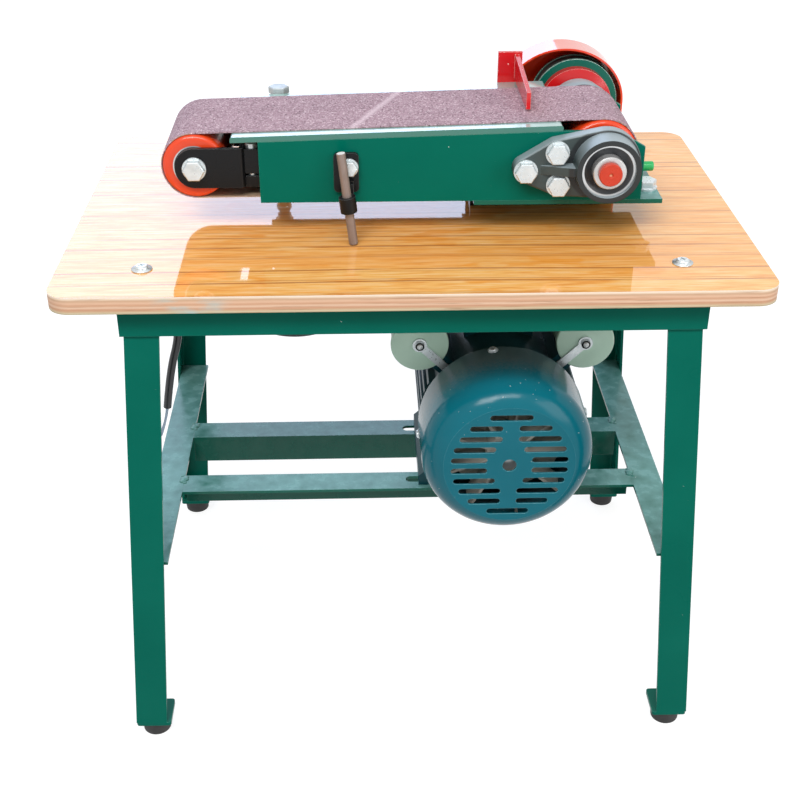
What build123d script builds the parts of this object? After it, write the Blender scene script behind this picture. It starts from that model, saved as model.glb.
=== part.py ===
from build123d import *
import os
from math import acos, asin, atan2, cos, degrees, hypot, pi, radians, sin, sqrt, tan

# Bench belt sander: a belt head on a laminated table, driven by a motor slung under it.
# X runs to the right along the belt, Y to the back, Z up. The origin is on the floor
# under the middle of the table. All sizes are millimetres, angles are degrees.

# Table
table_length = 610
table_depth = 406
table_height = 483
table_corner = 20
ply_thickness = 14
laminate_thickness = 1
table_screw_radius = 3
table_screw_head = 6
table_screw_washer = 9
table_screw_flats = 10
table_screw_nut = 5
table_screw_in = 18
table_screw_along = 8

# Angle-iron stand
angle_leg = 30
angle_wall = 3
angle_root = 2.5
apron_length = 500
apron_depth = 370
leg_lean = 3.75
leg_top_gap = 1
foot_plate = 34
foot_plate_thickness = 4
foot_height = 16
foot_radius = 15
foot_radius_low = 13.5
foot_rounding = 1.5
side_rail_height = 205

# Motor casing, foot mounted
motor_x = 90
shaft_height = 80
foot_holes_x = 125
foot_holes_y = 100
front_hole_y = -59
rail_edge_to_hole = 13
foot_hole_radius = 5
foot_width = 35
foot_margin = 11
foot_thickness = 11
foot_pocket_height = 20
foot_pocket_gap = 2
foot_web_sink = 4.6
foot_web_outer = 40
foot_web_inner = 65
foot_bolt_radius = 4
foot_bolt_flats = 13
foot_bolt_head = 5.3
foot_bolt_washer = 8
foot_bolt_nut = 6.5
foot_bolt_tail = 3
adjust_slot = 60
housing_front_y = -72
housing_length = 136
housing_radius = 74
bore_radius = 44
fin_height = 6
fin_width = 3
fin_pitch = 9
fin_rows = 9
fin_end = 6
shield_thickness = 20
shield_rim = 14
shield_boss = 24

# Fan cover
cover_radius = 81.3
cover_wall = 1.5
cover_length = 83
cover_setback = 4
cover_nose = 29.8
cover_shoulder = 28
cover_screw_turn = -8
cover_screw_in = 6.5
cover_screw_radius = 2
cover_screw_length = 7
cover_screw_head = 4
cover_screw_washer = 5
grille_rows = 10
grille_pitch = 11.4
grille_slot = 6
grille_outer = 55
grille_inner = 21.5
grille_bridge = 7.5
grille_eye = 6.5

# Rotor
motor_shaft_radius = 9.5
journal_radius = 10
core_seat_radius = 15
core_length = 96
rotor_gap = 1
motor_bearing_radius = 20.5
motor_bearing_width = 12
motor_bearing_inset = 2
shaft_shoulder = 5
shaft_reach = 40
shaft_tail = 9
fan_radius = 66
fan_depth = 34
fan_gap = 19
fan_hub = 20
fan_disc = 58
fan_blades = 9
fan_blade_wall = 2.5

# Capacitors and terminal box
can_radius = 27
can_length = 92
can_front_inset = 8
can_offset_x = 80
can_offset_z = 78
saddle_width = 18
cap_thickness = 4
cap_lip = 1
strap_wall = 2
strap_width = 8
strap_length = 36
strap_eye = 7
strap_screw = 4
strap_screw_height = 2.5
box_width = 76
box_depth = 85
box_height = 32
box_rear_shift = 16
box_corner = 6
box_pad_margin = 4
box_pad_height = 8
box_lid = 9
box_groove = 1

# Belt drive
drive_y = 102
motor_pulley_radius = 45
head_pulley_radius = 42
pulley_width = 20
pulley_web = 6
pulley_rim = 6
pulley_boss = 8
vee_top = 13
vee_height = 8
vee_angle = 38
vee_sink = 1
groove_spare = 1.5
hub_radius = 35
hub_recess = 5
slot_margin = 8
slot_corner = 6
guard_shift = 12
guard_radius = 60
guard_rise = 53
guard_depth = 36
guard_front_gap = 3
guard_wall = 2
guard_foot = 14
guard_screw_radius = 2
guard_screw_head = 4
guard_screw_washer = 5
guard_screw_spread = 22

# Belt head
belt_length = 915
belt_width = 100
belt_thickness = 1
head_y = -19
head_width = 124
drum_x = 169
drum_rise = 36.5
drum_radius = 32.5
idler_drop = 6
idler_radius = 28.5
roller_length = 105
drum_hub = 17
drum_rim = 6
drum_recess = 14
roller_rounding = 4
plate_wall = 4
platen_thickness = 5
platen_ledge = 12
platen_ledge_gap = 14
platen_end_gap = 4.5
plate_left = 57
plate_right = 36
plate_crown = 11
plate_shoulder = 14.5
shaft_hole = 20
base_thickness = 4
base_left = 113
base_right = 56
pedestal_length = 125
pedestal_depth = 54
pedestal_height = 29
pedestal_wall = 4
pedestal_inset = 3
pedestal_rounding = 3
base_screw_radius = 4
base_screw_head = 8
base_screw_flats = 13
base_screw_nut = 6.5
base_screw_inset_x = 21
base_screw_inset_y = 11
base_screw_tail = 12

# Spindle, bearing units and bolts
spindle_radius = 10
spindle_front = 39
spindle_rear = 14
centre_mark = 2.2
unit_height = 31
unit_radius = 30
unit_top_radius = 28
flange_radius = 31
flange_thickness = 12
flange_tilt = 4
insert_radius = 23.5
insert_width = 21
insert_lift = 7
outer_ring_wall = 2.2
seal_lip = 0.8
seal_dish = 3.5
inner_ring_radius = 14.4
inner_ring_reach = 34
rib_width = 8
rib_reach = 57
rib_top = 26
bolt_reach = 70
bolt_pair_reach = 42
bolt_pair_half = 14.5
bolt_boss = 11
bolt_radius = 5
bolt_flats = 17
bolt_head = 6.4
bolt_washer = 10.5
washer_thickness = 2
thin_nut = 5
thread_tail = 1
nut_height = 8
head_chamfer = 0.8

# End lug with its capped screw
lug_gap = 5
lug_wall = 4
lug_shift = 7
lug_width = 24
lug_height = 22
lug_corner = 5
cap_rise = 11
cap_screw_radius = 2.5
cap_radius = 4.5
cap_length = 12
collar_radius = 5.5
collar_length = 3
end_bolt_inset = 10
end_bolt_from_front = 28

# Idler yoke and its slide
yoke_wall = 4
yoke_height = 36
yoke_nose = 17
yoke_reach = 44
yoke_corner = 17.5
yoke_bend = 5
yoke_side_gap = 0.5
crosshead_length = 12
crosshead_height = 22
crosshead_drop = 2.5
axle_radius = 5
axle_tail = 2
idler_bearing_radius = 15
idler_bearing_width = 9
idler_bore = 11
bar_size = 10
bar_length = 84
bar_edge = 2
bar_drop = 1.5
slide_travel = 12
slide_end_gap = 4
slide_length = 48
slide_wall = 4
pin_radius = 4
pin_head = 6
pin_head_height = 5
lock_lug_length = 24
lock_lug_depth = 19
lock_lug_height = 12
lock_lug_drop = 19
lock_bolt_rise = 29
lock_bolt_length = 81

# Work stop
stop_from_drum = 70
stop_width = 23
stop_wall = 4
stop_lap = 10
stop_rise = 34
stop_reach = 85
stop_blade_set = 3
stop_blade_gap = 3
stop_nose_drop = 10
stop_rear_drop = 2
stop_bolt_radius = 2.5
stop_bolt_flats = 8
stop_bolt_head = 4
stop_bolt_washer = 5

# Prop rod and its bracket
prop_from_drum = 223.3
prop_rise = 34
prop_lean = 6.6
prop_bolt_radius = 4
prop_bolt_flats = 13
prop_bolt_head = 5.3
prop_bolt_washer = 8
rod_radius = 4
rod_length = 84
rod_forward = 18
rod_foot_shift = 2.8
rod_foot_gap = 1
bracket_width = 22
bracket_below = 23
bracket_above = 12.5
bracket_shift = 2.7
bracket_wall = 4
bracket_corner = 4
sleeve_radius = 7.4
sleeve_length = 14
sleeve_drop = 6
neck_width = 10
neck_height = 20
neck_gap = 1

# Motor lead, its gland, clips and stripped wires
lead_radius = 3.75
lead_bend_share = 0.45
gland_length = 16
gland_radius = 7
gland_tip_radius = 5
gland_from_rear = 13.5
gland_from_top = 17
clip_length = 10
clip_wall = 3
clip_reach = 12
wire_radius = 1
wire_ring = 2.4
wire_spread = 3
wire_length = 29
wire_sway = 3.6

# Clearances
running_gap = 0.3
shaft_clearance = 0.05
clip_clearance = 0.6

# Heights and places that follow from the driving dimensions
underside = table_height - laminate_thickness - ply_thickness
apron_bottom = underside - angle_leg
apron_x = apron_length / 2
apron_y = apron_depth / 2
splay = tan(radians(leg_lean))
leg_foot_z = foot_height + foot_plate_thickness
motor_z = side_rail_height + shaft_height
rear_hole_y = front_hole_y + foot_holes_y
housing_rear_y = housing_front_y + housing_length
housing_mid_y = (housing_front_y + housing_rear_y) / 2
shoulder_y = housing_rear_y + shield_thickness + shaft_shoulder
cover_rear_y = housing_front_y - cover_setback
cover_front_y = cover_rear_y - cover_length
base_top = table_height + pedestal_height + base_thickness
drum_z = base_top + drum_rise
plate_front_y = head_y - head_width / 2
plate_rear_y = head_y + head_width / 2
belt_mid = running_gap + belt_thickness / 2
centre_distance = (belt_length - pi * (drum_radius + idler_radius + 2 * belt_mid)) / 2
idler_x = drum_x - sqrt(centre_distance**2 - idler_drop**2)
idler_z = drum_z - idler_drop
centre_lean = degrees(atan2(idler_drop, drum_x - idler_x))
run_lean = centre_lean + degrees(asin((drum_radius - idler_radius) / centre_distance))
roller_front_y = head_y - roller_length / 2
roller_rear_y = head_y + roller_length / 2


def facing_front(y):
    # Work plane at a given depth, drawn in X and Z, whose normal points to the front.
    return Plane.XZ.offset(-y)


def turning_plane(x, z):
    # Half section of a turned piece: first along Y, then outwards from its axis.
    return Plane(origin=(x, 0, z), x_dir=(0, 1, 0), z_dir=(1, 0, 0))


def along_y(x, z):
    return Axis((x, 0, z), (0, 1, 0))


def turned(x, z, outline):
    # Piece of revolution about an axis along Y, from its closed half section.
    with BuildPart() as piece:
        with BuildSketch(turning_plane(x, z)):
            with BuildLine():
                Polyline(*outline, close=True)
            make_face()
        revolve(axis=along_y(x, z))
    return piece


def ring(x, z, y_front, y_rear, inner, outer):
    return turned(x, z, [(y_front, inner), (y_front, outer), (y_rear, outer), (y_rear, inner)])


def both_sides(x, y):
    return [(side_x * x, side_y * y) for side_x in (-1, 1) for side_y in (-1, 1)]


def save(piece, name):
    piece.part.label = name
    export_step(piece.part, f"parts/{name}.step")


def platen_top(x):
    # Height of the supporting face under the belt's upper run.
    lean = radians(run_lean)
    touch_x = drum_x - drum_radius * sin(lean)
    touch_z = drum_z + drum_radius * cos(lean)
    return touch_z - (touch_x - x) * tan(lean)


def angle_section(corner):
    # Section of an angle iron with its outer corner at the plane's origin.
    with BuildSketch(corner) as section:
        with BuildLine():
            Polyline(
                (0, 0),
                (angle_leg, 0),
                (angle_leg, angle_wall),
                (angle_wall, angle_wall),
                (angle_wall, angle_leg),
                (0, angle_leg),
                close=True,
            )
        make_face()
        fillet(section.vertices().sort_by_distance((angle_wall, angle_wall, 0))[0], angle_root)
    return section.sketch


def angle_iron(corner, length):
    with BuildPart() as bar:
        extrude(angle_section(corner), amount=length)
    return bar.part


def hex_bolt(shank, radius=bolt_radius, flats=bolt_flats, head=bolt_head, washer=bolt_washer):
    # Washer seat on the XY plane, head above it, shank below it.
    with BuildPart() as bolt:
        with BuildSketch():
            Circle(washer)
        extrude(amount=washer_thickness)
        with BuildSketch(Plane.XY.offset(washer_thickness)):
            RegularPolygon(flats / 2, 6, major_radius=False)
        extrude(amount=head)
        chamfer(bolt.faces().sort_by(Axis.Z)[-1].edges(), head_chamfer)
        with BuildSketch():
            Circle(radius)
        extrude(amount=-shank)
    return bolt.part


def hex_nut(radius=bolt_radius, flats=bolt_flats, height=nut_height):
    # Seat on the XY plane, nut below it.
    with BuildPart() as nut:
        with BuildSketch():
            RegularPolygon(flats / 2, 6, major_radius=False)
            Circle(radius + shaft_clearance, mode=Mode.SUBTRACT)
        extrude(amount=-height)
    return nut.part


def pan_screw(shank, radius, head, washer):
    # Washer seat on the XY plane, domed head above it, shank below it.
    with BuildPart() as screw:
        with BuildSketch():
            Circle(washer)
        extrude(amount=washer_thickness / 2)
        with BuildSketch(Plane.XY.offset(washer_thickness / 2)):
            Circle(head)
        extrude(amount=head / 2)
        fillet(screw.faces().sort_by(Axis.Z)[-1].edges(), head / 2.5)
        with BuildSketch():
            Circle(radius)
        extrude(amount=-shank)
    return screw.part


def loop_hull(y, x1, z1, radius1, x2, z2, radius2):
    # Flat outline of a tight loop round two wheels.
    with BuildSketch(facing_front(y)) as loop:
        with Locations((x1, z1)):
            Circle(radius1)
        with Locations((x2, z2)):
            Circle(radius2)
        make_hull()
    return loop.sketch


def vee_strands(z):
    # Outer faces of the two vee-belt strands at a height, left and right.
    rise = drum_z - motor_z
    run = drum_x - motor_x
    share = (z - motor_z) / rise
    reach = motor_pulley_radius + (head_pulley_radius - motor_pulley_radius) * share - vee_sink
    half = reach * hypot(run, rise) / rise
    return motor_x + run * share - half, motor_x + run * share + half


os.makedirs("parts", exist_ok=True)

# Table: plywood board under a laminate sheet, with the belt slot and the fixing holes
slot_left = vee_strands(underside)[0] - slot_margin
slot_right = vee_strands(table_height)[1] + slot_margin
table_screw_spots = both_sides(
    apron_x - table_screw_in, apron_y - angle_leg - table_screw_along
)
pedestal_x = drum_x - base_left + pedestal_inset + pedestal_length / 2
pedestal_y = plate_rear_y - pedestal_depth / 2
base_screw_spots = [
    (pedestal_x + x, pedestal_y + y)
    for x, y in both_sides(
        pedestal_length / 2 - base_screw_inset_x, pedestal_depth / 2 - base_screw_inset_y
    )
]
guard_x = drum_x - guard_shift
guard_front_y = drive_y - pulley_width / 2 - guard_front_gap
guard_rear_y = guard_front_y + guard_depth
guard_mid_y = (guard_front_y + guard_rear_y) / 2
guard_screw_spots = [
    (guard_x + x, guard_mid_y + y)
    for x, y in both_sides(guard_radius + guard_foot / 2, guard_screw_spread / 2)
]


def table_sheet(bottom, thickness):
    with BuildPart() as sheet:
        with BuildSketch(Plane.XY.offset(bottom)):
            RectangleRounded(table_length, table_depth, table_corner)
            with Locations(((slot_left + slot_right) / 2, drive_y)):
                slot_width = vee_top + 2 * slot_corner
                RectangleRounded(slot_right - slot_left, slot_width, slot_corner, mode=Mode.SUBTRACT)
            with Locations(*table_screw_spots):
                Circle(table_screw_radius + shaft_clearance, mode=Mode.SUBTRACT)
            with Locations(*base_screw_spots):
                Circle(base_screw_radius + shaft_clearance, mode=Mode.SUBTRACT)
            with Locations(*guard_screw_spots):
                Circle(guard_screw_radius + shaft_clearance, mode=Mode.SUBTRACT)
        extrude(amount=thickness)
    return sheet


table_core = table_sheet(underside, ply_thickness)
save(table_core, "table_core")
table_laminate = table_sheet(underside + ply_thickness, laminate_thickness)
save(table_laminate, "table_laminate")

table_screw_shank = table_height - underside + angle_wall + table_screw_nut + thread_tail
table_screw = pan_screw(table_screw_shank, table_screw_radius, table_screw_head, table_screw_washer)
with BuildPart() as table_screws:
    with Locations(Plane.XY.offset(table_height)):
        with Locations(*table_screw_spots):
            add(table_screw)
    with Locations(Plane.XY.offset(underside - angle_wall)):
        with Locations(*table_screw_spots):
            add(hex_nut(table_screw_radius, table_screw_flats, table_screw_nut))
save(table_screws, "table_screws")

# Stand: long aprons, side aprons coped into them, splayed legs on foot plates
long_corner = Plane(origin=(-apron_x, -apron_y, underside), x_dir=(0, 0, -1), z_dir=(1, 0, 0))
long_apron = angle_iron(long_corner, apron_length)
with BuildPart() as long_aprons:
    add(long_apron)
    mirror(long_apron, about=Plane.XZ)
save(long_aprons, "long_aprons")

side_end = apron_y - angle_wall
side_corner = Plane(origin=(-apron_x, side_end, underside), x_dir=(0, 0, -1), z_dir=(0, -1, 0))
cope = angle_leg - angle_wall
with BuildPart() as side_apron:
    add(angle_iron(side_corner, 2 * side_end))
    with Locations((-apron_x, side_end, underside), (-apron_x, -side_end + cope, underside)):
        Box(
            angle_leg,
            cope,
            angle_wall + angle_root,
            align=(Align.MIN, Align.MAX, Align.MAX),
            mode=Mode.SUBTRACT,
        )
    with Locations(Plane.XY.offset(underside)):
        with Locations(*table_screw_spots):
            Hole(table_screw_radius + shaft_clearance, depth=angle_wall)
with BuildPart() as side_aprons:
    add(side_apron.part)
    mirror(side_apron.part, about=Plane.YZ)
save(side_aprons, "side_aprons")


def leg_out(inner, z):
    # Outer face of a leg at a height: it leaves the apron's inner corner and leans outwards.
    return inner - angle_wall + splay * (apron_bottom - z)


leg_x = leg_out(apron_x, leg_foot_z)
leg_y = leg_out(apron_y, leg_foot_z)
leg_rise = underside - angle_wall - leg_top_gap - leg_foot_z
leg_line = Vector(splay * leg_rise, splay * leg_rise, leg_rise)
with BuildPart() as leg:
    leg_section = angle_section(Plane((-leg_x, -leg_y, leg_foot_z)))
    extrude(leg_section, amount=leg_line.length, dir=leg_line.normalized())
    with BuildSketch(Plane((-leg_x + foot_plate / 2, -leg_y + foot_plate / 2, foot_height))):
        RectangleRounded(foot_plate, foot_plate, angle_wall)
    extrude(amount=foot_plate_thickness)
with BuildPart() as legs:
    add(leg.part)
    mirror(leg.part, about=Plane.YZ)
    mirror(legs.part, about=Plane.XZ)
save(legs, "legs")

foot_spots = both_sides(leg_x - foot_plate / 2, leg_y - foot_plate / 2)
with BuildPart() as rubber_feet:
    with Locations(*foot_spots):
        Cone(foot_radius_low, foot_radius, foot_height, align=(Align.CENTER, Align.CENTER, Align.MIN))
    fillet(rubber_feet.edges().group_by(Axis.Z)[0], foot_rounding)
save(rubber_feet, "rubber_feet")

# Rails: one along each side between the legs, two across that carry the motor
rail_x = leg_out(apron_x, side_rail_height) - angle_wall
rail_end = leg_out(apron_y, side_rail_height) - angle_wall - angle_root
rail_corner = Plane(origin=(-rail_x, rail_end, side_rail_height), x_dir=(0, 0, -1), z_dir=(0, -1, 0))
side_rail = angle_iron(rail_corner, 2 * rail_end)
with BuildPart() as side_rails:
    add(side_rail)
    mirror(side_rail, about=Plane.YZ)
save(side_rails, "side_rails")

cross_end = rail_x - angle_leg
front_rail_y = front_hole_y + rail_edge_to_hole
rear_rail_y = rear_hole_y - rail_edge_to_hole
front_cross = Plane((cross_end, front_rail_y, side_rail_height), x_dir=(0, 0, -1), z_dir=(-1, 0, 0))
rear_cross = Plane((-cross_end, rear_rail_y, side_rail_height), x_dir=(0, 0, -1), z_dir=(1, 0, 0))
motor_hole_spots = [
    (motor_x + side * foot_holes_x / 2, y) for side in (-1, 1) for y in (front_hole_y, rear_hole_y)
]
with BuildPart() as motor_rails:
    add(angle_iron(front_cross, 2 * cross_end))
    add(angle_iron(rear_cross, 2 * cross_end))
    with BuildSketch(Plane.XY.offset(side_rail_height)):
        with Locations(*motor_hole_spots):
            SlotOverall(adjust_slot, 2 * foot_hole_radius)
    extrude(amount=-angle_wall, mode=Mode.SUBTRACT)
save(motor_rails, "motor_rails")

# Motor casing: finned shell with feet, terminal pad and capacitor saddles
can_spots = [(motor_x + side * can_offset_x, motor_z + can_offset_z) for side in (-1, 1)]
can_front_y = housing_front_y + can_front_inset
can_reach = hypot(can_offset_x, can_offset_z)
pad_top = motor_z + housing_radius + box_pad_height
box_y = housing_mid_y + box_rear_shift
foot_top = side_rail_height + foot_thickness
web_radius = housing_radius - foot_web_sink
web_outer = radians(foot_web_outer)
web_inner = radians(foot_web_inner)
with BuildPart() as motor_housing:
    with BuildSketch(facing_front(housing_rear_y)):
        with Locations((motor_x, motor_z)):
            Circle(housing_radius)
    extrude(amount=housing_length)
    with BuildSketch(facing_front(housing_rear_y - fin_end)):
        with Locations((motor_x, motor_z)):
            with GridLocations(0, fin_pitch, 1, fin_rows):
                Rectangle(2 * (housing_radius + fin_height), fin_width)
            Circle(housing_radius + fin_height, mode=Mode.INTERSECT)
    extrude(amount=housing_length - 2 * fin_end)
    with BuildSketch(facing_front(rear_hole_y + foot_margin)):
        for side in (-1, 1):
            hole_x = motor_x + side * foot_holes_x / 2
            with BuildLine():
                Polyline(
                    (hole_x + side * foot_width / 2, side_rail_height),
                    (hole_x + side * foot_width / 2, foot_top),
                    (motor_x + side * web_radius * cos(web_outer), motor_z - web_radius * sin(web_outer)),
                    (motor_x + side * web_radius * cos(web_inner), motor_z - web_radius * sin(web_inner)),
                    (hole_x - side * foot_width / 2, side_rail_height),
                    close=True,
                )
            make_face()
    extrude(amount=foot_holes_y + 2 * foot_margin)
    with BuildSketch(Plane.XY.offset(motor_z)):
        with Locations((motor_x, box_y)):
            Rectangle(box_width - 2 * box_pad_margin, box_depth - 2 * box_pad_margin)
    extrude(amount=pad_top - motor_z)
    for side in (-1, 1):
        saddle = Plane(
            origin=(motor_x, can_front_y + can_length, motor_z),
            x_dir=(side * can_offset_x, 0, can_offset_z),
            z_dir=(0, -1, 0),
        )
        with BuildSketch(saddle):
            with Locations(((bore_radius + can_reach) / 2, 0)):
                Rectangle(can_reach - bore_radius, saddle_width)
        extrude(amount=can_length)
    with BuildSketch(facing_front(housing_rear_y)):
        with Locations(*can_spots):
            Circle(can_radius + cap_lip + shaft_clearance)
    extrude(amount=housing_length, mode=Mode.SUBTRACT)
    with BuildSketch(facing_front(housing_rear_y)):
        with Locations((motor_x, motor_z)):
            Circle(bore_radius)
    extrude(amount=housing_length, mode=Mode.SUBTRACT)
    with BuildSketch(Plane.XY.offset(foot_top)):
        with Locations(*motor_hole_spots):
            Circle(foot_bolt_washer + foot_pocket_gap)
    extrude(amount=foot_pocket_height, mode=Mode.SUBTRACT)
    with Locations(Plane.XY.offset(foot_top)):
        with Locations(*motor_hole_spots):
            Hole(foot_hole_radius, depth=2 * foot_thickness)
save(motor_housing, "motor_housing")

cover_screw_y = cover_rear_y - cover_screw_in
cover_screw_seats = []
for quarter in range(4):
    turn = radians(cover_screw_turn + 90 * quarter)
    outwards = Vector(sin(turn), 0, cos(turn))
    seat_point = Vector(motor_x, cover_screw_y, motor_z) + outwards * cover_radius
    cover_screw_seats.append(Plane(origin=seat_point, x_dir=(0, 1, 0), z_dir=outwards))


def end_shield(y_inner, out):
    # Turned end cover: outer rim, coned web and bearing boss.
    rim = cover_radius - cover_wall - running_gap
    y_outer = y_inner + out * shield_thickness
    y_rim = y_inner + out * shield_rim
    return turned(
        motor_x,
        motor_z,
        [
            (y_inner, motor_bearing_radius),
            (y_outer, motor_bearing_radius),
            (y_outer, shield_boss),
            (y_rim, housing_radius - fin_height),
            (y_rim, rim),
            (y_inner, rim),
        ],
    )


fan_side = end_shield(housing_front_y, -1)
with BuildPart() as end_shield_fan:
    add(fan_side.part)
    with Locations(*cover_screw_seats):
        Hole(cover_screw_radius + shaft_clearance, depth=cover_screw_length + thread_tail)
save(end_shield_fan, "end_shield_fan")
end_shield_drive = end_shield(housing_rear_y, 1)
save(end_shield_drive, "end_shield_drive")

front_bearing_y = housing_front_y - motor_bearing_inset - motor_bearing_width
rear_bearing_y = housing_rear_y + motor_bearing_inset
with BuildPart() as motor_bearings:
    for bearing_y in (front_bearing_y, rear_bearing_y):
        with BuildSketch(facing_front(bearing_y + motor_bearing_width)):
            with Locations((motor_x, motor_z)):
                Circle(motor_bearing_radius - shaft_clearance)
                Circle(journal_radius + shaft_clearance, mode=Mode.SUBTRACT)
        extrude(amount=motor_bearing_width)
save(motor_bearings, "motor_bearings")


# Fan cover: spun steel bowl with rows of grille slots in its flat face
def cover_bowl(wall):
    # Solid of the bowl's outer form, or of its hollow when a wall is taken off it.
    turn = degrees(asin((cover_shoulder - wall) / (cover_nose - wall)))
    with BuildPart() as bowl:
        with BuildSketch(turning_plane(motor_x, motor_z)):
            with BuildLine():
                skirt = Line(
                    (cover_rear_y, cover_radius - wall), (cover_front_y + cover_shoulder, cover_radius - wall)
                )
                nose = JernArc(skirt @ 1, (-1, 0), cover_nose - wall, turn)
                face = Line(nose @ 1, (cover_front_y + wall, 0))
                axle = Line(face @ 1, (cover_rear_y, 0))
                Line(axle @ 1, skirt @ 0)
            make_face()
        revolve(axis=along_y(motor_x, motor_z))
    return bowl.part


with BuildPart() as fan_cover:
    add(cover_bowl(0))
    add(cover_bowl(cover_wall), mode=Mode.SUBTRACT)
    with BuildSketch(facing_front(cover_front_y + cover_wall)):
        with Locations((motor_x, motor_z)):
            Circle(grille_eye)
        for row in range(grille_rows):
            height = (row - (grille_rows - 1) / 2) * grille_pitch
            reach = sqrt(max(grille_outer**2 - height**2, grille_pitch**2))
            bridge = sqrt(max(grille_inner**2 - height**2, grille_bridge**2))
            if reach < 3 * bridge and row in (0, grille_rows - 1):
                with Locations((motor_x, motor_z + height)):
                    SlotOverall(2 * reach, grille_slot)
            else:
                for side in (-1, 1):
                    with Locations((motor_x + side * (bridge + reach) / 2, motor_z + height)):
                        SlotOverall(reach - bridge, grille_slot)
    extrude(amount=cover_wall, mode=Mode.SUBTRACT)
    with Locations(*cover_screw_seats):
        Hole(cover_screw_radius + shaft_clearance, depth=2 * cover_wall)
save(fan_cover, "fan_cover")

with BuildPart() as cover_screws:
    with Locations(*cover_screw_seats):
        add(pan_screw(cover_screw_length, cover_screw_radius, cover_screw_head, cover_screw_washer))
save(cover_screws, "cover_screws")

# Terminal box with its lid line, on the pad
box_top = pad_top + box_height
with BuildPart() as terminal_box:
    with BuildSketch(Plane.XY.offset(pad_top)):
        with Locations((motor_x, box_y)):
            RectangleRounded(box_width, box_depth, box_corner)
    extrude(amount=box_height)
    fillet(terminal_box.faces().sort_by(Axis.Z)[-1].edges(), box_corner / 2)
    with BuildSketch(Plane.XY.offset(box_top - box_lid)):
        with Locations((motor_x, box_y)):
            RectangleRounded(box_width, box_depth, box_corner)
            RectangleRounded(
                box_width - 2 * box_groove,
                box_depth - 2 * box_groove,
                box_corner - box_groove,
                mode=Mode.SUBTRACT,
            )
    extrude(amount=box_groove, mode=Mode.SUBTRACT)
save(terminal_box, "terminal_box")

# Start and run capacitors: cans, front caps, and the strap arms that hold them
with BuildPart() as capacitors:
    with BuildSketch(facing_front(can_front_y + can_length)):
        with Locations(*can_spots):
            Circle(can_radius)
    extrude(amount=can_length - cap_thickness)
    fillet(capacitors.edges().group_by(Axis.Y)[-1], cap_thickness / 2)
save(capacitors, "capacitors")

with BuildPart() as capacitor_caps:
    with BuildSketch(facing_front(can_front_y + cap_thickness)):
        with Locations(*can_spots):
            Circle(can_radius + cap_lip)
    extrude(amount=cap_thickness)
    fillet(capacitor_caps.edges().group_by(Axis.Y)[0], cap_lip)
save(capacitor_caps, "capacitor_caps")

with BuildPart() as capacitor_straps:
    for side, spot in zip((-1, 1), can_spots):
        arm = Plane(
            origin=(spot[0], can_front_y, spot[1]),
            x_dir=(-side * can_offset_x, 0, -can_offset_z),
            z_dir=(0, -1, 0),
        )
        with BuildSketch(arm):
            Circle(strap_eye)
            with Locations((strap_length / 2, 0)):
                Rectangle(strap_length, strap_width)
        extrude(amount=strap_wall)
        with BuildSketch(arm.offset(strap_wall)):
            Circle(strap_screw)
        extrude(amount=strap_screw_height)
save(capacitor_straps, "capacitor_straps")

foot_bolt_shank = foot_thickness + angle_wall + foot_bolt_nut + foot_bolt_tail
foot_bolt = hex_bolt(
    foot_bolt_shank, foot_bolt_radius, foot_bolt_flats, foot_bolt_head, foot_bolt_washer
)
with BuildPart() as motor_bolts:
    with Locations(Plane.XY.offset(foot_top)):
        with Locations(*motor_hole_spots):
            add(foot_bolt)
    with Locations(Plane.XY.offset(side_rail_height - angle_wall)):
        with Locations(*motor_hole_spots):
            add(hex_nut(foot_bolt_radius, foot_bolt_flats, foot_bolt_nut))
save(motor_bolts, "motor_bolts")

# Rotor: stepped shaft, core, cooling fan and motor pulley
rotor_shaft = turned(
    motor_x,
    motor_z,
    [
        (cover_front_y + shaft_tail, 0),
        (cover_front_y + shaft_tail, motor_shaft_radius),
        (housing_front_y - shield_thickness, motor_shaft_radius),
        (housing_front_y - shield_thickness, journal_radius),
        (housing_front_y, journal_radius),
        (housing_front_y, core_seat_radius),
        (housing_rear_y, core_seat_radius),
        (housing_rear_y, journal_radius),
        (shoulder_y, journal_radius),
        (shoulder_y, motor_shaft_radius),
        (shoulder_y + shaft_reach, motor_shaft_radius),
        (shoulder_y + shaft_reach, 0),
    ],
)
save(rotor_shaft, "rotor_shaft")

rotor_core = ring(
    motor_x,
    motor_z,
    housing_mid_y - core_length / 2,
    housing_mid_y + core_length / 2,
    core_seat_radius + shaft_clearance,
    bore_radius - rotor_gap,
)
save(rotor_core, "rotor_core")

fan_rear_y = cover_front_y + fan_gap + fan_depth
with BuildPart() as cooling_fan:
    with BuildSketch(facing_front(fan_rear_y)):
        with Locations((motor_x, motor_z)):
            Circle(fan_hub)
            with PolarLocations((fan_radius + fan_hub) / 2, fan_blades):
                Rectangle(fan_radius - fan_hub + 2 * fan_blade_wall, fan_blade_wall)
    extrude(amount=fan_depth)
    with BuildSketch(facing_front(fan_rear_y)):
        with Locations((motor_x, motor_z)):
            Circle(fan_disc)
    extrude(amount=fan_blade_wall)
    with BuildSketch(facing_front(fan_rear_y)):
        with Locations((motor_x, motor_z)):
            Circle(motor_shaft_radius + shaft_clearance)
    extrude(amount=fan_depth, mode=Mode.SUBTRACT)
save(cooling_fan, "cooling_fan")


def vee_half(top_half, depth):
    # Half width of a vee at a depth below the level where it is given.
    return top_half - depth * tan(radians(vee_angle / 2))


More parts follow.
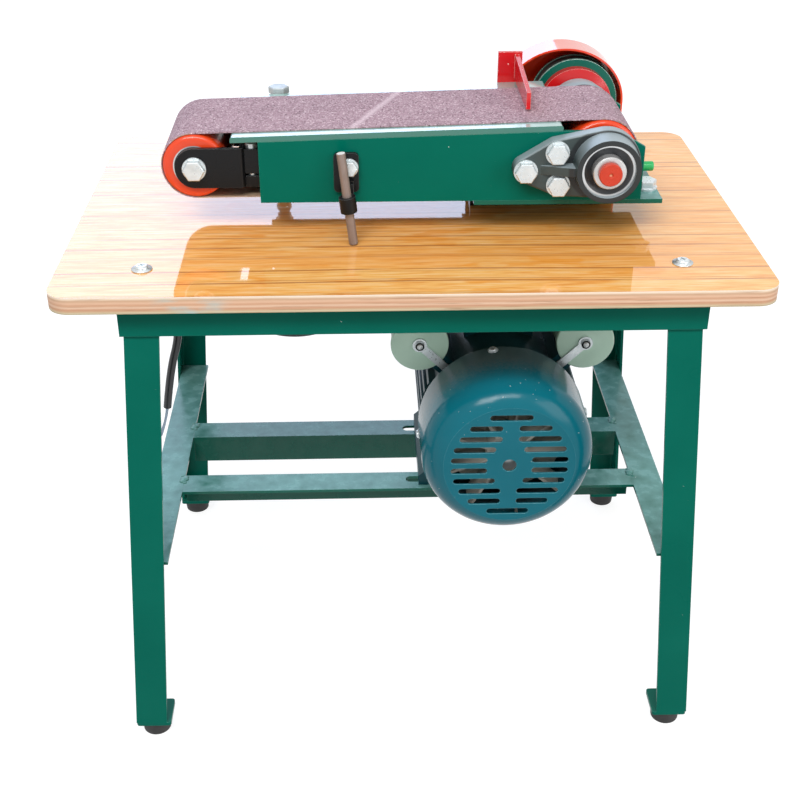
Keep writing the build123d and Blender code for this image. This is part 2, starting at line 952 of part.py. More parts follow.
def vee_pulley(x, z, radius, bore, hub_front_y):
    # Turned pulley: one vee groove in the rim, a thin web and a hub towards the front.
    front = drive_y - pulley_width / 2
    rear = drive_y + pulley_width / 2
    groove_half = vee_half(vee_top / 2, -vee_sink) + running_gap / cos(radians(vee_angle / 2))
    groove_depth = vee_sink + vee_height + groove_spare
    floor_half = vee_half(groove_half, groove_depth)
    rim_inner = radius - groove_depth - pulley_rim
    boss = bore + pulley_boss
    return turned(
        x,
        z,
        [
            (hub_front_y, bore),
            (hub_front_y, boss),
            (drive_y - pulley_web / 2, boss),
            (drive_y - pulley_web / 2, rim_inner),
            (front, rim_inner),
            (front, radius),
            (drive_y - groove_half, radius),
            (drive_y - floor_half, radius - groove_depth),
            (drive_y + floor_half, radius - groove_depth),
            (drive_y + groove_half, radius),
            (rear, radius),
            (rear, rim_inner),
            (drive_y + pulley_web / 2, rim_inner),
            (drive_y + pulley_web / 2, boss),
            (rear, boss),
            (rear, bore),
        ],
    )


motor_pulley = vee_pulley(
    motor_x, motor_z, motor_pulley_radius, motor_shaft_radius + shaft_clearance, shoulder_y
)
save(motor_pulley, "motor_pulley")

# Vee belt: one closed loop, its trapezium carried up, over, down and under both pulleys
vee_motor = motor_pulley_radius - vee_sink
vee_head = head_pulley_radius - vee_sink
pulley_gap = hypot(drum_x - motor_x, drum_z - motor_z)
vee_lean = atan2(drum_z - motor_z, drum_x - motor_x)
vee_spread = acos((vee_motor - vee_head) / pulley_gap)
strand_length = sqrt(pulley_gap**2 - (vee_motor - vee_head) ** 2)


def vee_section(x, z, radius, angle):
    # Belt section where it leaves a pulley, facing the way that the loop runs.
    point = (x + radius * cos(angle), drive_y, z + radius * sin(angle))
    heading = (-sin(angle), 0, cos(angle))
    with BuildSketch(Plane(origin=point, x_dir=(0, 1, 0), z_dir=heading)) as section:
        with BuildLine():
            Polyline(
                (-vee_top / 2, 0),
                (vee_top / 2, 0),
                (vee_half(vee_top / 2, vee_height), vee_height),
                (-vee_half(vee_top / 2, vee_height), vee_height),
                close=True,
            )
        make_face()
    return section.sketch


right_side = vee_lean - vee_spread
left_side = vee_lean + vee_spread
with BuildPart() as v_belt:
    extrude(vee_section(motor_x, motor_z, vee_motor, right_side), amount=strand_length)
    revolve(
        vee_section(drum_x, drum_z, vee_head, right_side),
        axis=Axis((drum_x, drive_y, drum_z), (0, -1, 0)),
        revolution_arc=degrees(2 * vee_spread),
    )
    extrude(vee_section(drum_x, drum_z, vee_head, left_side), amount=strand_length)
    revolve(
        vee_section(motor_x, motor_z, vee_motor, left_side),
        axis=Axis((motor_x, drive_y, motor_z), (0, -1, 0)),
        revolution_arc=360 - degrees(2 * vee_spread),
    )
save(v_belt, "v_belt")


# Belt guard: arched sheet hood over the head pulley, open at the front, on two foot flanges
def arch(wall):
    # Solid under the hood's outer form, or its hollow when a wall is taken off it.
    half = guard_radius - wall
    with BuildPart() as block:
        with BuildSketch(facing_front(guard_rear_y - wall)):
            with BuildLine():
                crown = EllipticalCenterArc((guard_x, drum_z), half, guard_rise - wall, arc_size=180)
                left = Line(crown @ 1, (guard_x - half, table_height))
                sill = Line(left @ 1, (guard_x + half, table_height))
                Line(sill @ 1, crown @ 0)
            make_face()
        extrude(amount=guard_depth)
    return block.part


with BuildPart() as belt_guard:
    add(arch(0))
    add(arch(guard_wall), mode=Mode.SUBTRACT)
    with BuildSketch(Plane.XY.offset(table_height)):
        with Locations((guard_x, guard_mid_y)):
            with GridLocations(2 * guard_radius + guard_foot - guard_wall, 0, 2, 1):
                Rectangle(guard_foot + guard_wall, guard_depth)
        with Locations(*guard_screw_spots):
            Circle(guard_screw_radius + shaft_clearance, mode=Mode.SUBTRACT)
    extrude(amount=guard_wall)
save(belt_guard, "belt_guard")

guard_screw_shank = guard_wall + ply_thickness / 2
with BuildPart() as guard_screws:
    with Locations(Plane.XY.offset(table_height + guard_wall)):
        with Locations(*guard_screw_spots):
            add(pan_screw(guard_screw_shank, guard_screw_radius, guard_screw_head, guard_screw_washer))
save(guard_screws, "guard_screws")

# Head base: pedestal tube, base plate with its end lug, countersunk screws through the table
pedestal_top = table_height + pedestal_height
base_hole = base_screw_radius + shaft_clearance
with BuildPart() as pedestal:
    with BuildSketch(Plane.YZ.offset(pedestal_x - pedestal_length / 2)):
        with Locations((pedestal_y, table_height + pedestal_height / 2)):
            RectangleRounded(pedestal_depth, pedestal_height, pedestal_rounding)
            Rectangle(
                pedestal_depth - 2 * pedestal_wall, pedestal_height - 2 * pedestal_wall, mode=Mode.SUBTRACT
            )
    extrude(amount=pedestal_length)
    with Locations(Plane.XY.offset(pedestal_top)):
        with Locations(*base_screw_spots):
            CounterSinkHole(base_hole, base_screw_head - base_thickness + shaft_clearance)
save(pedestal, "pedestal")

lug_x = drum_x + drum_radius + running_gap + belt_thickness + lug_gap
lug_y = head_y - lug_shift
cap_z = base_top + cap_rise
end_bolt_spot = (drum_x + base_right - end_bolt_inset, plate_front_y + end_bolt_from_front)
with BuildPart() as base_plate:
    with BuildSketch(Plane.XY.offset(base_top - base_thickness)):
        with Locations((drum_x + (base_right - base_left) / 2, head_y)):
            Rectangle(base_left + base_right, head_width)
        with Locations(end_bolt_spot):
            Circle(bolt_radius + shaft_clearance, mode=Mode.SUBTRACT)
    extrude(amount=base_thickness)
    with Locations(Plane.XY.offset(base_top)):
        with Locations(*base_screw_spots):
            CounterSinkHole(base_hole, base_screw_head + shaft_clearance)
    with BuildSketch(Plane.YZ.offset(lug_x)):
        with Locations((lug_y, base_top)):
            Rectangle(lug_width, lug_height - lug_corner, align=(Align.CENTER, Align.MIN))
        with Locations((lug_y, base_top + lug_height / 2)):
            RectangleRounded(lug_width, lug_height, lug_corner)
        with Locations((lug_y, cap_z)):
            Circle(cap_screw_radius + shaft_clearance, mode=Mode.SUBTRACT)
    extrude(amount=lug_wall)
save(base_plate, "base_plate")

screw_end_z = underside - base_screw_tail
with BuildPart() as base_screw:
    with BuildSketch(Plane.XZ):
        with BuildLine():
            Polyline(
                (0, base_top),
                (base_screw_head, base_top),
                (base_screw_radius, base_top - base_screw_head + base_screw_radius),
                (base_screw_radius, screw_end_z),
                (0, screw_end_z),
                close=True,
            )
        make_face()
    revolve(axis=Axis.Z)
with BuildPart() as base_screws:
    with Locations(*base_screw_spots):
        add(base_screw.part)
    with Locations(Plane.XY.offset(underside)):
        with Locations(*base_screw_spots):
            add(hex_nut(base_screw_radius, base_screw_flats, base_screw_nut))
save(base_screws, "base_screws")

with BuildPart() as capped_screw:
    with BuildSketch(Plane.YZ.offset(lug_x - thin_nut)):
        with Locations((lug_y, cap_z)):
            RegularPolygon(2 * cap_screw_radius, 6, major_radius=False)
    extrude(amount=thin_nut)
    with BuildSketch(Plane.YZ.offset(lug_x)):
        with Locations((lug_y, cap_z)):
            Circle(cap_screw_radius)
    extrude(amount=lug_wall + collar_length)
save(capped_screw, "capped_screw")

with BuildPart() as screw_cap:
    with BuildSketch(Plane.YZ.offset(lug_x + lug_wall)):
        with Locations((lug_y, cap_z)):
            Circle(collar_radius)
            Circle(cap_screw_radius + shaft_clearance, mode=Mode.SUBTRACT)
    extrude(amount=collar_length)
    with BuildSketch(Plane.YZ.offset(lug_x + lug_wall + collar_length)):
        with Locations((lug_y, cap_z)):
            Circle(cap_radius)
    extrude(amount=cap_length)
    fillet(screw_cap.faces().sort_by(Axis.X)[-1].edges(), cap_radius / 3)
save(screw_cap, "screw_cap")

# Side plates of the head: one outline, the shaft hole and the bolt holes
tilt = radians(flange_tilt)
bolt_spots = [
    (drum_x + x * cos(tilt) - z * sin(tilt), drum_z + x * sin(tilt) + z * cos(tilt))
    for x, z in (
        (-bolt_reach, 0),
        (-bolt_pair_reach, bolt_pair_half),
        (-bolt_pair_reach, -bolt_pair_half),
    )
]
plate_left_x = idler_x + plate_left
plate_right_x = drum_x + plate_right
platen_left_x = idler_x + idler_radius + platen_end_gap
platen_right_x = drum_x - drum_radius - platen_end_gap
crown_z = platen_top(platen_right_x) - platen_thickness
prop_x = drum_x - prop_from_drum
prop_z = base_top + prop_rise
stop_x = drum_x - stop_from_drum
stop_seat_z = platen_top(stop_x - stop_width / 2) - platen_thickness
stop_bolt_spots = [(stop_x + side * stop_width / 4, stop_seat_z - stop_lap / 2) for side in (-1, 1)]


def side_plate(y_rear):
    with BuildPart() as plate:
        with BuildSketch(facing_front(y_rear)):
            with BuildLine():
                Polyline(
                    (plate_left_x, base_top),
                    (plate_right_x, base_top),
                    (plate_right_x, crown_z - plate_shoulder),
                    (drum_x + plate_crown, crown_z),
                    (platen_right_x, crown_z),
                    (plate_left_x, platen_top(plate_left_x) - platen_thickness),
                    close=True,
                )
            make_face()
            with Locations((drum_x, drum_z)):
                Circle(shaft_hole, mode=Mode.SUBTRACT)
            with Locations(*bolt_spots):
                Circle(bolt_radius + shaft_clearance, mode=Mode.SUBTRACT)
        extrude(amount=plate_wall)
    return plate


front_blank = side_plate(plate_front_y + plate_wall)
with BuildPart() as side_plate_front:
    add(front_blank.part)
    with Locations(facing_front(plate_front_y)):
        with Locations((prop_x, prop_z)):
            Hole(prop_bolt_radius + shaft_clearance, depth=plate_wall)
save(side_plate_front, "side_plate_front")

lock_x = plate_left_x + lock_lug_length / 2
lock_y = plate_rear_y + lock_lug_depth / 2
lock_lug_top = platen_top(plate_left_x) - platen_thickness - lock_lug_drop
rear_blank = side_plate(plate_rear_y)
with BuildPart() as side_plate_rear:
    add(rear_blank.part)
    with BuildSketch(Plane.XY.offset(lock_lug_top)):
        with Locations((lock_x, lock_y)):
            Rectangle(lock_lug_length, lock_lug_depth)
            Circle(bolt_radius + shaft_clearance, mode=Mode.SUBTRACT)
    extrude(amount=-lock_lug_height)
save(side_plate_rear, "side_plate_rear")

with BuildPart() as lock_bolt:
    with BuildSketch(Plane.XY.offset(lock_lug_top + lock_bolt_rise)):
        with Locations((lock_x, lock_y)):
            Circle(bolt_radius)
    extrude(amount=-lock_bolt_length)
    with BuildSketch(Plane.XY.offset(lock_lug_top + lock_bolt_rise)):
        with Locations((lock_x, lock_y)):
            RegularPolygon(bolt_flats / 2, 6, major_radius=False)
    extrude(amount=-bolt_head)
    chamfer(lock_bolt.faces().sort_by(Axis.Z)[-1].edges(), head_chamfer)
    for nut_z in (lock_lug_top + nut_height, lock_lug_top - lock_lug_height):
        with Locations((lock_x, lock_y, nut_z)):
            add(hex_nut())
save(lock_bolt, "lock_bolt")

platen_rear_y = plate_rear_y + platen_ledge


def platen_slab(left_x, y_rear, depth):
    with BuildPart() as slab:
        with BuildSketch(facing_front(y_rear)):
            with BuildLine():
                Polyline(
                    (left_x, platen_top(left_x)),
                    (platen_right_x, platen_top(platen_right_x)),
                    (platen_right_x, platen_top(platen_right_x) - platen_thickness),
                    (left_x, platen_top(left_x) - platen_thickness),
                    close=True,
                )
            make_face()
        extrude(amount=depth)
    return slab.part


with BuildPart() as platen:
    add(platen_slab(platen_left_x, plate_rear_y, head_width))
    add(platen_slab(lock_x + platen_ledge_gap, platen_rear_y, platen_ledge))
    fillet(platen.edges().filter_by(Axis.Y).group_by(Axis.X)[0].sort_by(Axis.Z)[-1], platen_thickness / 2)
    fillet(platen.edges().filter_by(Axis.Y).group_by(Axis.X)[-1].sort_by(Axis.Z)[-1], platen_thickness / 2)
    with BuildSketch(facing_front(platen_rear_y)):
        with Locations((stop_x, stop_seat_z - stop_lap)):
            Rectangle(stop_width, stop_lap + platen_thickness / 2, align=(Align.CENTER, Align.MIN))
        with Locations(*stop_bolt_spots):
            Circle(stop_bolt_radius + shaft_clearance, mode=Mode.SUBTRACT)
    extrude(amount=plate_wall)
save(platen, "platen")

# Flanged bearing units, the front one modelled and the rear one mirrored
head_middle = Plane.XZ.offset(-head_y)
rib_plane = Plane(
    origin=(drum_x, plate_front_y, drum_z),
    x_dir=(-cos(tilt), 0, -sin(tilt)),
    z_dir=(-sin(tilt), 0, cos(tilt)),
)
with BuildPart() as front_unit:
    with BuildSketch(facing_front(plate_front_y)):
        with Locations((drum_x, drum_z)):
            Circle(flange_radius)
        with Locations(*bolt_spots):
            Circle(bolt_boss)
        make_hull()
    extrude(amount=flange_thickness)
    fillet(front_unit.faces().sort_by(Axis.Y)[0].edges(), flange_thickness / 6)
    with BuildSketch(facing_front(plate_front_y)):
        with Locations((drum_x, drum_z)):
            Circle(unit_radius)
    with BuildSketch(facing_front(plate_front_y - unit_height)):
        with Locations((drum_x, drum_z)):
            Circle(unit_top_radius)
    loft()
    with BuildSketch(rib_plane):
        with BuildLine():
            Polyline(
                (insert_radius, 0),
                (rib_reach, 0),
                (rib_reach, flange_thickness),
                (unit_radius, rib_top),
                (insert_radius, rib_top),
                close=True,
            )
        make_face()
    extrude(amount=rib_width / 2, both=True)
    with BuildSketch(facing_front(plate_front_y)):
        with Locations((drum_x, drum_z)):
            Circle(insert_radius)
        with Locations(*bolt_spots):
            Circle(bolt_radius + shaft_clearance)
    extrude(amount=unit_height, mode=Mode.SUBTRACT)
    with BuildSketch(facing_front(plate_front_y - flange_thickness)):
        with Locations(*bolt_spots):
            Circle(bolt_washer + shaft_clearance)
    extrude(amount=unit_height, mode=Mode.SUBTRACT)
with BuildPart() as bearing_housings:
    add(front_unit.part)
    mirror(front_unit.part, about=head_middle)
save(bearing_housings, "bearing_housings")

insert_rear_y = plate_front_y - insert_lift
insert_front_y = insert_rear_y - insert_width
front_insert = turned(
    drum_x,
    drum_z,
    [
        (insert_front_y + seal_dish, inner_ring_radius + running_gap),
        (insert_front_y + seal_lip, insert_radius - outer_ring_wall),
        (insert_front_y, insert_radius - outer_ring_wall),
        (insert_front_y, insert_radius - shaft_clearance),
        (insert_rear_y, insert_radius - shaft_clearance),
        (insert_rear_y, inner_ring_radius + running_gap),
    ],
)
with BuildPart() as bearing_inserts:
    add(front_insert.part)
    mirror(front_insert.part, about=head_middle)
save(bearing_inserts, "bearing_inserts")

inner_front_y = plate_front_y - inner_ring_reach
front_inner = turned(
    drum_x,
    drum_z,
    [
        (inner_front_y, spindle_radius + shaft_clearance),
        (inner_front_y, inner_ring_radius - head_chamfer),
        (inner_front_y + head_chamfer, inner_ring_radius),
        (plate_front_y - plate_wall, inner_ring_radius),
        (plate_front_y - plate_wall, spindle_radius + shaft_clearance),
    ],
)
with BuildPart() as inner_rings:
    add(front_inner.part)
    mirror(front_inner.part, about=head_middle)
save(inner_rings, "inner_rings")

# Bolts of the head: bearing units, prop bracket, stop and base plate end
prop_seat_y = plate_front_y - running_gap - bracket_wall - running_gap
prop_shank = plate_front_y + plate_wall - prop_seat_y + thin_nut
prop_bolt = hex_bolt(prop_shank, prop_bolt_radius, prop_bolt_flats, prop_bolt_head, prop_bolt_washer)
stop_shank = stop_wall + plate_wall + thin_nut
with BuildPart() as unit_bolts:
    with Locations(facing_front(plate_front_y - flange_thickness)):
        with Locations(*bolt_spots):
            add(hex_bolt(flange_thickness + plate_wall + thin_nut))
    with Locations(facing_front(plate_front_y + plate_wall)):
        with Locations(*bolt_spots):
            add(hex_nut(height=thin_nut))
stop_tab_y = 2 * head_y - platen_rear_y
with BuildPart() as stop_bolt_set:
    with Locations(facing_front(stop_tab_y - stop_wall)):
        with Locations(*stop_bolt_spots):
            add(hex_bolt(stop_shank, stop_bolt_radius, stop_bolt_flats, stop_bolt_head, stop_bolt_washer))
    with Locations(facing_front(stop_tab_y + plate_wall)):
        with Locations(*stop_bolt_spots):
            add(hex_nut(stop_bolt_radius, stop_bolt_flats, thin_nut))
with BuildPart() as hex_bolts:
    add(unit_bolts.part)
    mirror(unit_bolts.part, about=head_middle)
    mirror(stop_bolt_set.part, about=head_middle)
    with Locations(facing_front(prop_seat_y)):
        with Locations((prop_x, prop_z)):
            add(prop_bolt)
    with Locations(facing_front(plate_front_y + plate_wall)):
        with Locations((prop_x, prop_z)):
            add(hex_nut(prop_bolt_radius, prop_bolt_flats, thin_nut))
    with Locations(Plane.XY.offset(base_top)):
        with Locations(end_bolt_spot):
            add(hex_bolt(base_thickness + nut_height + thread_tail))
    with Locations(Plane.XY.offset(base_top - base_thickness)):
        with Locations(end_bolt_spot):
            add(hex_nut())
save(hex_bolts, "hex_bolts")

# Spindle: shaft, drum, head pulley and its hub
drive_shaft = turned(
    drum_x,
    drum_z,
    [
        (plate_front_y - spindle_front + centre_mark, 0),
        (plate_front_y - spindle_front, centre_mark),
        (plate_front_y - spindle_front, spindle_radius - head_chamfer),
        (plate_front_y - spindle_front + head_chamfer, spindle_radius),
        (drive_y + spindle_rear - head_chamfer, spindle_radius),
        (drive_y + spindle_rear, spindle_radius - head_chamfer),
        (drive_y + spindle_rear, 0),
    ],
)
save(drive_shaft, "drive_shaft")



def rounded_rims(blank, radius):
    # Roller with both ends of its face rounded over.
    with BuildPart() as roller:
        add(blank.part)
        rims = roller.edges().filter_by(GeomType.CIRCLE).filter_by(lambda edge: edge.radius > radius / 1.01)
        fillet(rims, roller_rounding)
    return roller


drum_bore = spindle_radius + shaft_clearance
drum_blank = turned(
    drum_x,
    drum_z,
    [
        (roller_front_y, drum_bore),
        (roller_front_y, drum_hub),
        (roller_front_y + drum_recess, drum_hub),
        (roller_front_y + drum_recess, drum_radius - drum_rim),
        (roller_front_y, drum_radius - drum_rim),
        (roller_front_y, drum_radius),
        (roller_rear_y, drum_radius),
        (roller_rear_y, drum_radius - drum_rim),
        (roller_rear_y - drum_recess, drum_radius - drum_rim),
        (roller_rear_y - drum_recess, drum_hub),
        (roller_rear_y, drum_hub),
        (roller_rear_y, drum_bore),
    ],
)
drive_drum = rounded_rims(drum_blank, drum_radius)
save(drive_drum, "drive_drum")

pulley_front_y = drive_y - pulley_width / 2
driven_pulley = vee_pulley(drum_x, drum_z, head_pulley_radius, drum_bore, pulley_front_y)
save(driven_pulley, "driven_pulley")

hub_front_y = plate_rear_y + inner_ring_reach + running_gap
pulley_hub = turned(
    drum_x,
    drum_z,
    [
        (hub_front_y, drum_bore),
        (hub_front_y, drum_hub),
        (hub_front_y + hub_recess, hub_radius),
        (pulley_front_y, hub_radius),
        (pulley_front_y, drum_bore),
    ],
)
save(pulley_hub, "pulley_hub")

# Sanding belt: an endless loop that clears both rollers and the platen
with BuildPart() as sanding_belt:
    belt_rear_y = head_y + belt_width / 2
    belt_inner = running_gap
    belt_outer = running_gap + belt_thickness
    outer_loop = loop_hull(
        belt_rear_y, drum_x, drum_z, drum_radius + belt_outer, idler_x, idler_z, idler_radius + belt_outer
    )
    inner_loop = loop_hull(
        belt_rear_y, drum_x, drum_z, drum_radius + belt_inner, idler_x, idler_z, idler_radius + belt_inner
    )
    extrude(outer_loop, amount=belt_width, dir=(0, -1, 0))
    extrude(inner_loop, amount=belt_width, dir=(0, -1, 0), mode=Mode.SUBTRACT)
save(sanding_belt, "sanding_belt")

# Idler yoke: fork round the roller, crosshead with its tracking pins, two guide bars
arm_front_y = plate_front_y + plate_wall + yoke_side_gap
arm_rear_y = plate_rear_y - plate_wall - yoke_side_gap
web_x = idler_x + yoke_reach
yoke_z = idler_z
fork_width = arm_rear_y - arm_front_y
fork_length = yoke_reach + yoke_nose
with BuildPart() as idler_yoke:
    with BuildSketch(Plane.XY.offset(yoke_z - yoke_height / 2)) as fork:
        with Locations((web_x, head_y)):
            Rectangle(fork_length, fork_width, align=(Align.MAX, Align.CENTER))
        with Locations((web_x - yoke_wall, head_y)):
            Rectangle(
                fork_length, fork_width - 2 * yoke_wall, align=(Align.MAX, Align.CENTER), mode=Mode.SUBTRACT
            )
        fillet(fork.vertices().group_by(Axis.X)[1], yoke_bend - yoke_wall)
        fillet(fork.vertices().group_by(Axis.X)[-1], yoke_bend)
    extrude(amount=yoke_height)
    fillet(idler_yoke.edges().filter_by(Axis.Y).group_by(Axis.X)[0], yoke_corner)
    with BuildSketch(facing_front(arm_rear_y)):
        with Locations((idler_x, idler_z)):
            Circle(axle_radius + shaft_clearance)
    extrude(amount=fork_width, mode=Mode.SUBTRACT)
save(idler_yoke, "idler_yoke")

bar_low_z = yoke_z - yoke_height / 2 - bar_drop
bar_spots = [roller_front_y + bar_edge + bar_size / 2, roller_rear_y - bar_edge - bar_size / 2]
pin_x = web_x + crosshead_length / 2
crosshead_top = yoke_z + yoke_height / 2 - crosshead_drop
crosshead_bottom = crosshead_top - crosshead_height
with BuildPart() as yoke_block:
    with BuildSketch(Plane.XY.offset(crosshead_bottom)):
        with Locations((pin_x, head_y)):
            Rectangle(crosshead_length, roller_length)
        with Locations(*[(pin_x, y) for y in bar_spots]):
            Circle(pin_radius + shaft_clearance, mode=Mode.SUBTRACT)
    extrude(amount=crosshead_height)
save(yoke_block, "yoke_block")

with BuildPart() as guide_bars:
    with Locations(*[(web_x, y, bar_low_z) for y in bar_spots]):
        Box(bar_length, bar_size, bar_size, align=(Align.MIN, Align.CENTER, Align.MIN))
save(guide_bars, "guide_bars")

pin_foot_z = bar_low_z + bar_size
with BuildPart() as tracking_pins:
    with Locations(*[(pin_x, y, pin_foot_z) for y in bar_spots]):
        Cylinder(
            pin_radius, crosshead_top - pin_foot_z, align=(Align.CENTER, Align.CENTER, Align.MIN)
        )
    with Locations(*[(pin_x, y, crosshead_top) for y in bar_spots]):
        Cylinder(pin_head, pin_head_height, align=(Align.CENTER, Align.CENTER, Align.MIN))
    fillet(tracking_pins.edges().group_by(Axis.Z)[-1], pin_head_height / 4)
save(tracking_pins, "tracking_pins")

with BuildPart() as idler_axle:
    with Locations(facing_front(arm_front_y)):
        with Locations((idler_x, idler_z)):
            add(hex_bolt(fork_width + nut_height + axle_tail, axle_radius))
    with Locations(facing_front(arm_rear_y)):
        with Locations((idler_x, idler_z)):
            add(hex_nut(axle_radius))
save(idler_axle, "idler_axle")

seat_front_y = roller_front_y + idler_bearing_width
seat_rear_y = roller_rear_y - idler_bearing_width
seat_radius = idler_bearing_radius + shaft_clearance
idler_blank = turned(
    idler_x,
    idler_z,
    [
        (roller_front_y, seat_radius),
        (roller_front_y, idler_radius),
        (roller_rear_y, idler_radius),
        (roller_rear_y, seat_radius),
        (seat_rear_y, seat_radius),
        (seat_rear_y, idler_bore),
        (seat_front_y, idler_bore),
        (seat_front_y, seat_radius),
    ],
)
idler_roller = rounded_rims(idler_blank, idler_radius)
save(idler_roller, "idler_roller")

with BuildPart() as idler_bearings:
    for bearing_y in (seat_front_y, roller_rear_y):
        with BuildSketch(facing_front(bearing_y)):
            with Locations((idler_x, idler_z)):
                Circle(idler_bearing_radius)
                Circle(axle_radius + shaft_clearance, mode=Mode.SUBTRACT)
        extrude(amount=idler_bearing_width)
save(idler_bearings, "idler_bearings")

# Slide block between the side plates, with a passage for each guide bar
slide_x = web_x + crosshead_length + slide_travel + slide_end_gap
with BuildPart() as slide_block:
    with Locations((slide_x, head_y, bar_low_z + bar_size / 2)):
        Box(
            slide_length,
            head_width - 2 * plate_wall,
            bar_size + 2 * slide_wall,
            align=(Align.MIN, Align.CENTER, Align.CENTER),
        )
    with Locations(*[(slide_x, y, bar_low_z + bar_size / 2) for y in bar_spots]):
        Box(
            slide_length,
            bar_size + 2 * running_gap,
            bar_size + 2 * running_gap,
            align=(Align.MIN, Align.CENTER, Align.CENTER),
            mode=Mode.SUBTRACT,
        )
save(slide_block, "slide_block")

# Work stop: upright bolted behind the head and a blade reaching over the belt
stop_top = stop_seat_z + stop_rise
blade_x = stop_x + stop_width / 2 - stop_blade_set - stop_wall
blade_bottom = platen_top(stop_x + stop_width / 2) + stop_blade_gap
stop_rear_y = platen_rear_y + stop_wall
with BuildPart() as stop_fence:
    with BuildSketch(facing_front(stop_rear_y)):
        with Locations((stop_x, stop_seat_z - stop_lap)):
            Rectangle(stop_width, stop_lap + stop_rise, align=(Align.CENTER, Align.MIN))
        with Locations(*stop_bolt_spots):
            Circle(stop_bolt_radius + shaft_clearance, mode=Mode.SUBTRACT)
    extrude(amount=stop_wall)
    with BuildSketch(Plane.YZ.offset(blade_x)):
        with BuildLine():
            Polyline(
                (stop_rear_y, blade_bottom),
                (plate_rear_y - stop_reach, blade_bottom),
                (plate_rear_y - stop_reach, stop_top - stop_nose_drop),
                (stop_rear_y, stop_top - stop_rear_drop),
                close=True,
            )
        make_face()
    extrude(amount=stop_wall)
save(stop_fence, "stop_fence")

# Prop: pivoting bracket on the front plate and a rod through its leaning sleeve
rod_y = plate_front_y - rod_forward
rod_foot = Vector(prop_x + rod_foot_shift, rod_y, table_height + rod_foot_gap)
rod_up = Vector(-sin(radians(prop_lean)), 0, cos(radians(prop_lean)))
bracket_bottom = prop_z - bracket_below
sleeve_mid_z = bracket_bottom - sleeve_drop
sleeve_mid = rod_foot + rod_up * ((sleeve_mid_z - rod_foot.Z) / rod_up.Z)
sleeve_plane = Plane(origin=sleeve_mid, x_dir=(0, -1, 0), z_dir=rod_up)
bracket_rear_y = plate_front_y - running_gap
neck_depth = rod_forward - running_gap - rod_radius - neck_gap
with BuildPart() as prop_bracket:
    with BuildSketch(facing_front(bracket_rear_y)):
        with Locations((prop_x - bracket_shift, prop_z + (bracket_above - bracket_below) / 2)):
            RectangleRounded(bracket_width, bracket_below + bracket_above, bracket_corner)
        with Locations((prop_x, prop_z)):
            Circle(prop_bolt_radius + shaft_clearance, mode=Mode.SUBTRACT)
    extrude(amount=bracket_wall)
    with BuildSketch(facing_front(bracket_rear_y)):
        with Locations((sleeve_mid.X, bracket_bottom)):
            Rectangle(neck_width, neck_height)
    extrude(amount=neck_depth)
    with BuildSketch(sleeve_plane):
        Circle(sleeve_radius)
    extrude(amount=sleeve_length / 2, both=True)
    with BuildSketch(sleeve_plane):
        Circle(rod_radius + shaft_clearance)
    extrude(amount=rod_length, both=True, mode=Mode.SUBTRACT)
save(prop_bracket, "prop_bracket")

with BuildPart() as prop_rod:
    with BuildSketch(Plane(origin=rod_foot, x_dir=(0, -1, 0), z_dir=rod_up)):
        Circle(rod_radius)
    extrude(amount=rod_length)
    chamfer(prop_rod.edges().filter_by(GeomType.CIRCLE), head_chamfer / 2)
save(prop_rod, "prop_rod")

# Motor lead: from the gland up under the table, along it in clips, down behind the leg
gland_base_x = motor_x - box_width / 2
gland_y = box_y + box_depth / 2 - gland_from_rear
gland_z = box_top - gland_from_top
lead_route = [
    (gland_base_x - gland_length, gland_y, gland_z),
    (5, gland_y, gland_z),
    (-42, 36, gland_z - 28),
    (-90, 18, gland_z - 47),
    (-136, -6, gland_z - 34.5),
    (-164, -30, gland_z + 10),
    (-179, -52, underside - 8),
    (-210, -100, underside - 8),
    (-217, -109, underside - 62),
    (-224, -110, underside - 103),
    (-231, -108, underside - 143),
]


def bend_radii(route):
    # Largest arc at each inner point that the two runs beside it leave room for.
    radii = []
    for before, corner, after in zip(route, route[1:], route[2:]):
        run_in = Vector(corner) - Vector(before)
        run_out = Vector(after) - Vector(corner)
        half_turn = radians(run_in.get_angle(run_out)) / 2
        radii.append(lead_bend_share * min(run_in.length, run_out.length) / tan(half_turn))
    return radii


def cord_tube(route, radius):
    with BuildPart() as tube:
        with BuildLine() as path:
            FilletPolyline(*route, radius=bend_radii(route))
        with BuildSketch(Plane(origin=path.wire() @ 0, z_dir=path.wire() % 0)):
            Circle(radius)
        sweep(path=path.wire())
    return tube, path.wire()


motor_lead, lead_path = cord_tube(lead_route, lead_radius)
save(motor_lead, "motor_lead")
print("lead radii", [round(radius, 1) for radius in bend_radii(lead_route)])
print("lead length", round(lead_path.length, 1))
print("lead volume share", round(motor_lead.part.volume / (pi * lead_radius**2 * lead_path.length), 4))

with BuildPart() as cable_gland:
    with BuildSketch(Plane(origin=(gland_base_x, gland_y, gland_z), x_dir=(-1, 0, 0), z_dir=(0, 1, 0))):
        with BuildLine():
            Polyline(
                (0, 0),
                (0, gland_radius),
                (gland_length / 3, gland_radius),
                (gland_length, gland_tip_radius),
                (gland_length, 0),
                close=True,
            )
        make_face()
    revolve(axis=Axis((gland_base_x, gland_y, gland_z), (-1, 0, 0)))
save(cable_gland, "cable_gland")

lead_end = lead_path @ 1
lead_aim = lead_path % 1
wire_side = lead_aim.cross(Vector(1, 0, 0)).normalized()
wire_drift = Vector(-wire_sway, 0, 0)
with BuildPart() as lead_wires:
    for place in (-1, 0, 1):
        wire_start = lead_end + wire_side * (place * wire_ring)
        wire_bend = wire_start + lead_aim * (wire_length / 2)
        wire_end = wire_bend + lead_aim * (wire_length / 2) + wire_drift + wire_side * (place * wire_spread)
        add(cord_tube([wire_start, wire_bend, wire_end], wire_radius)[0].part)
save(lead_wires, "lead_wires")

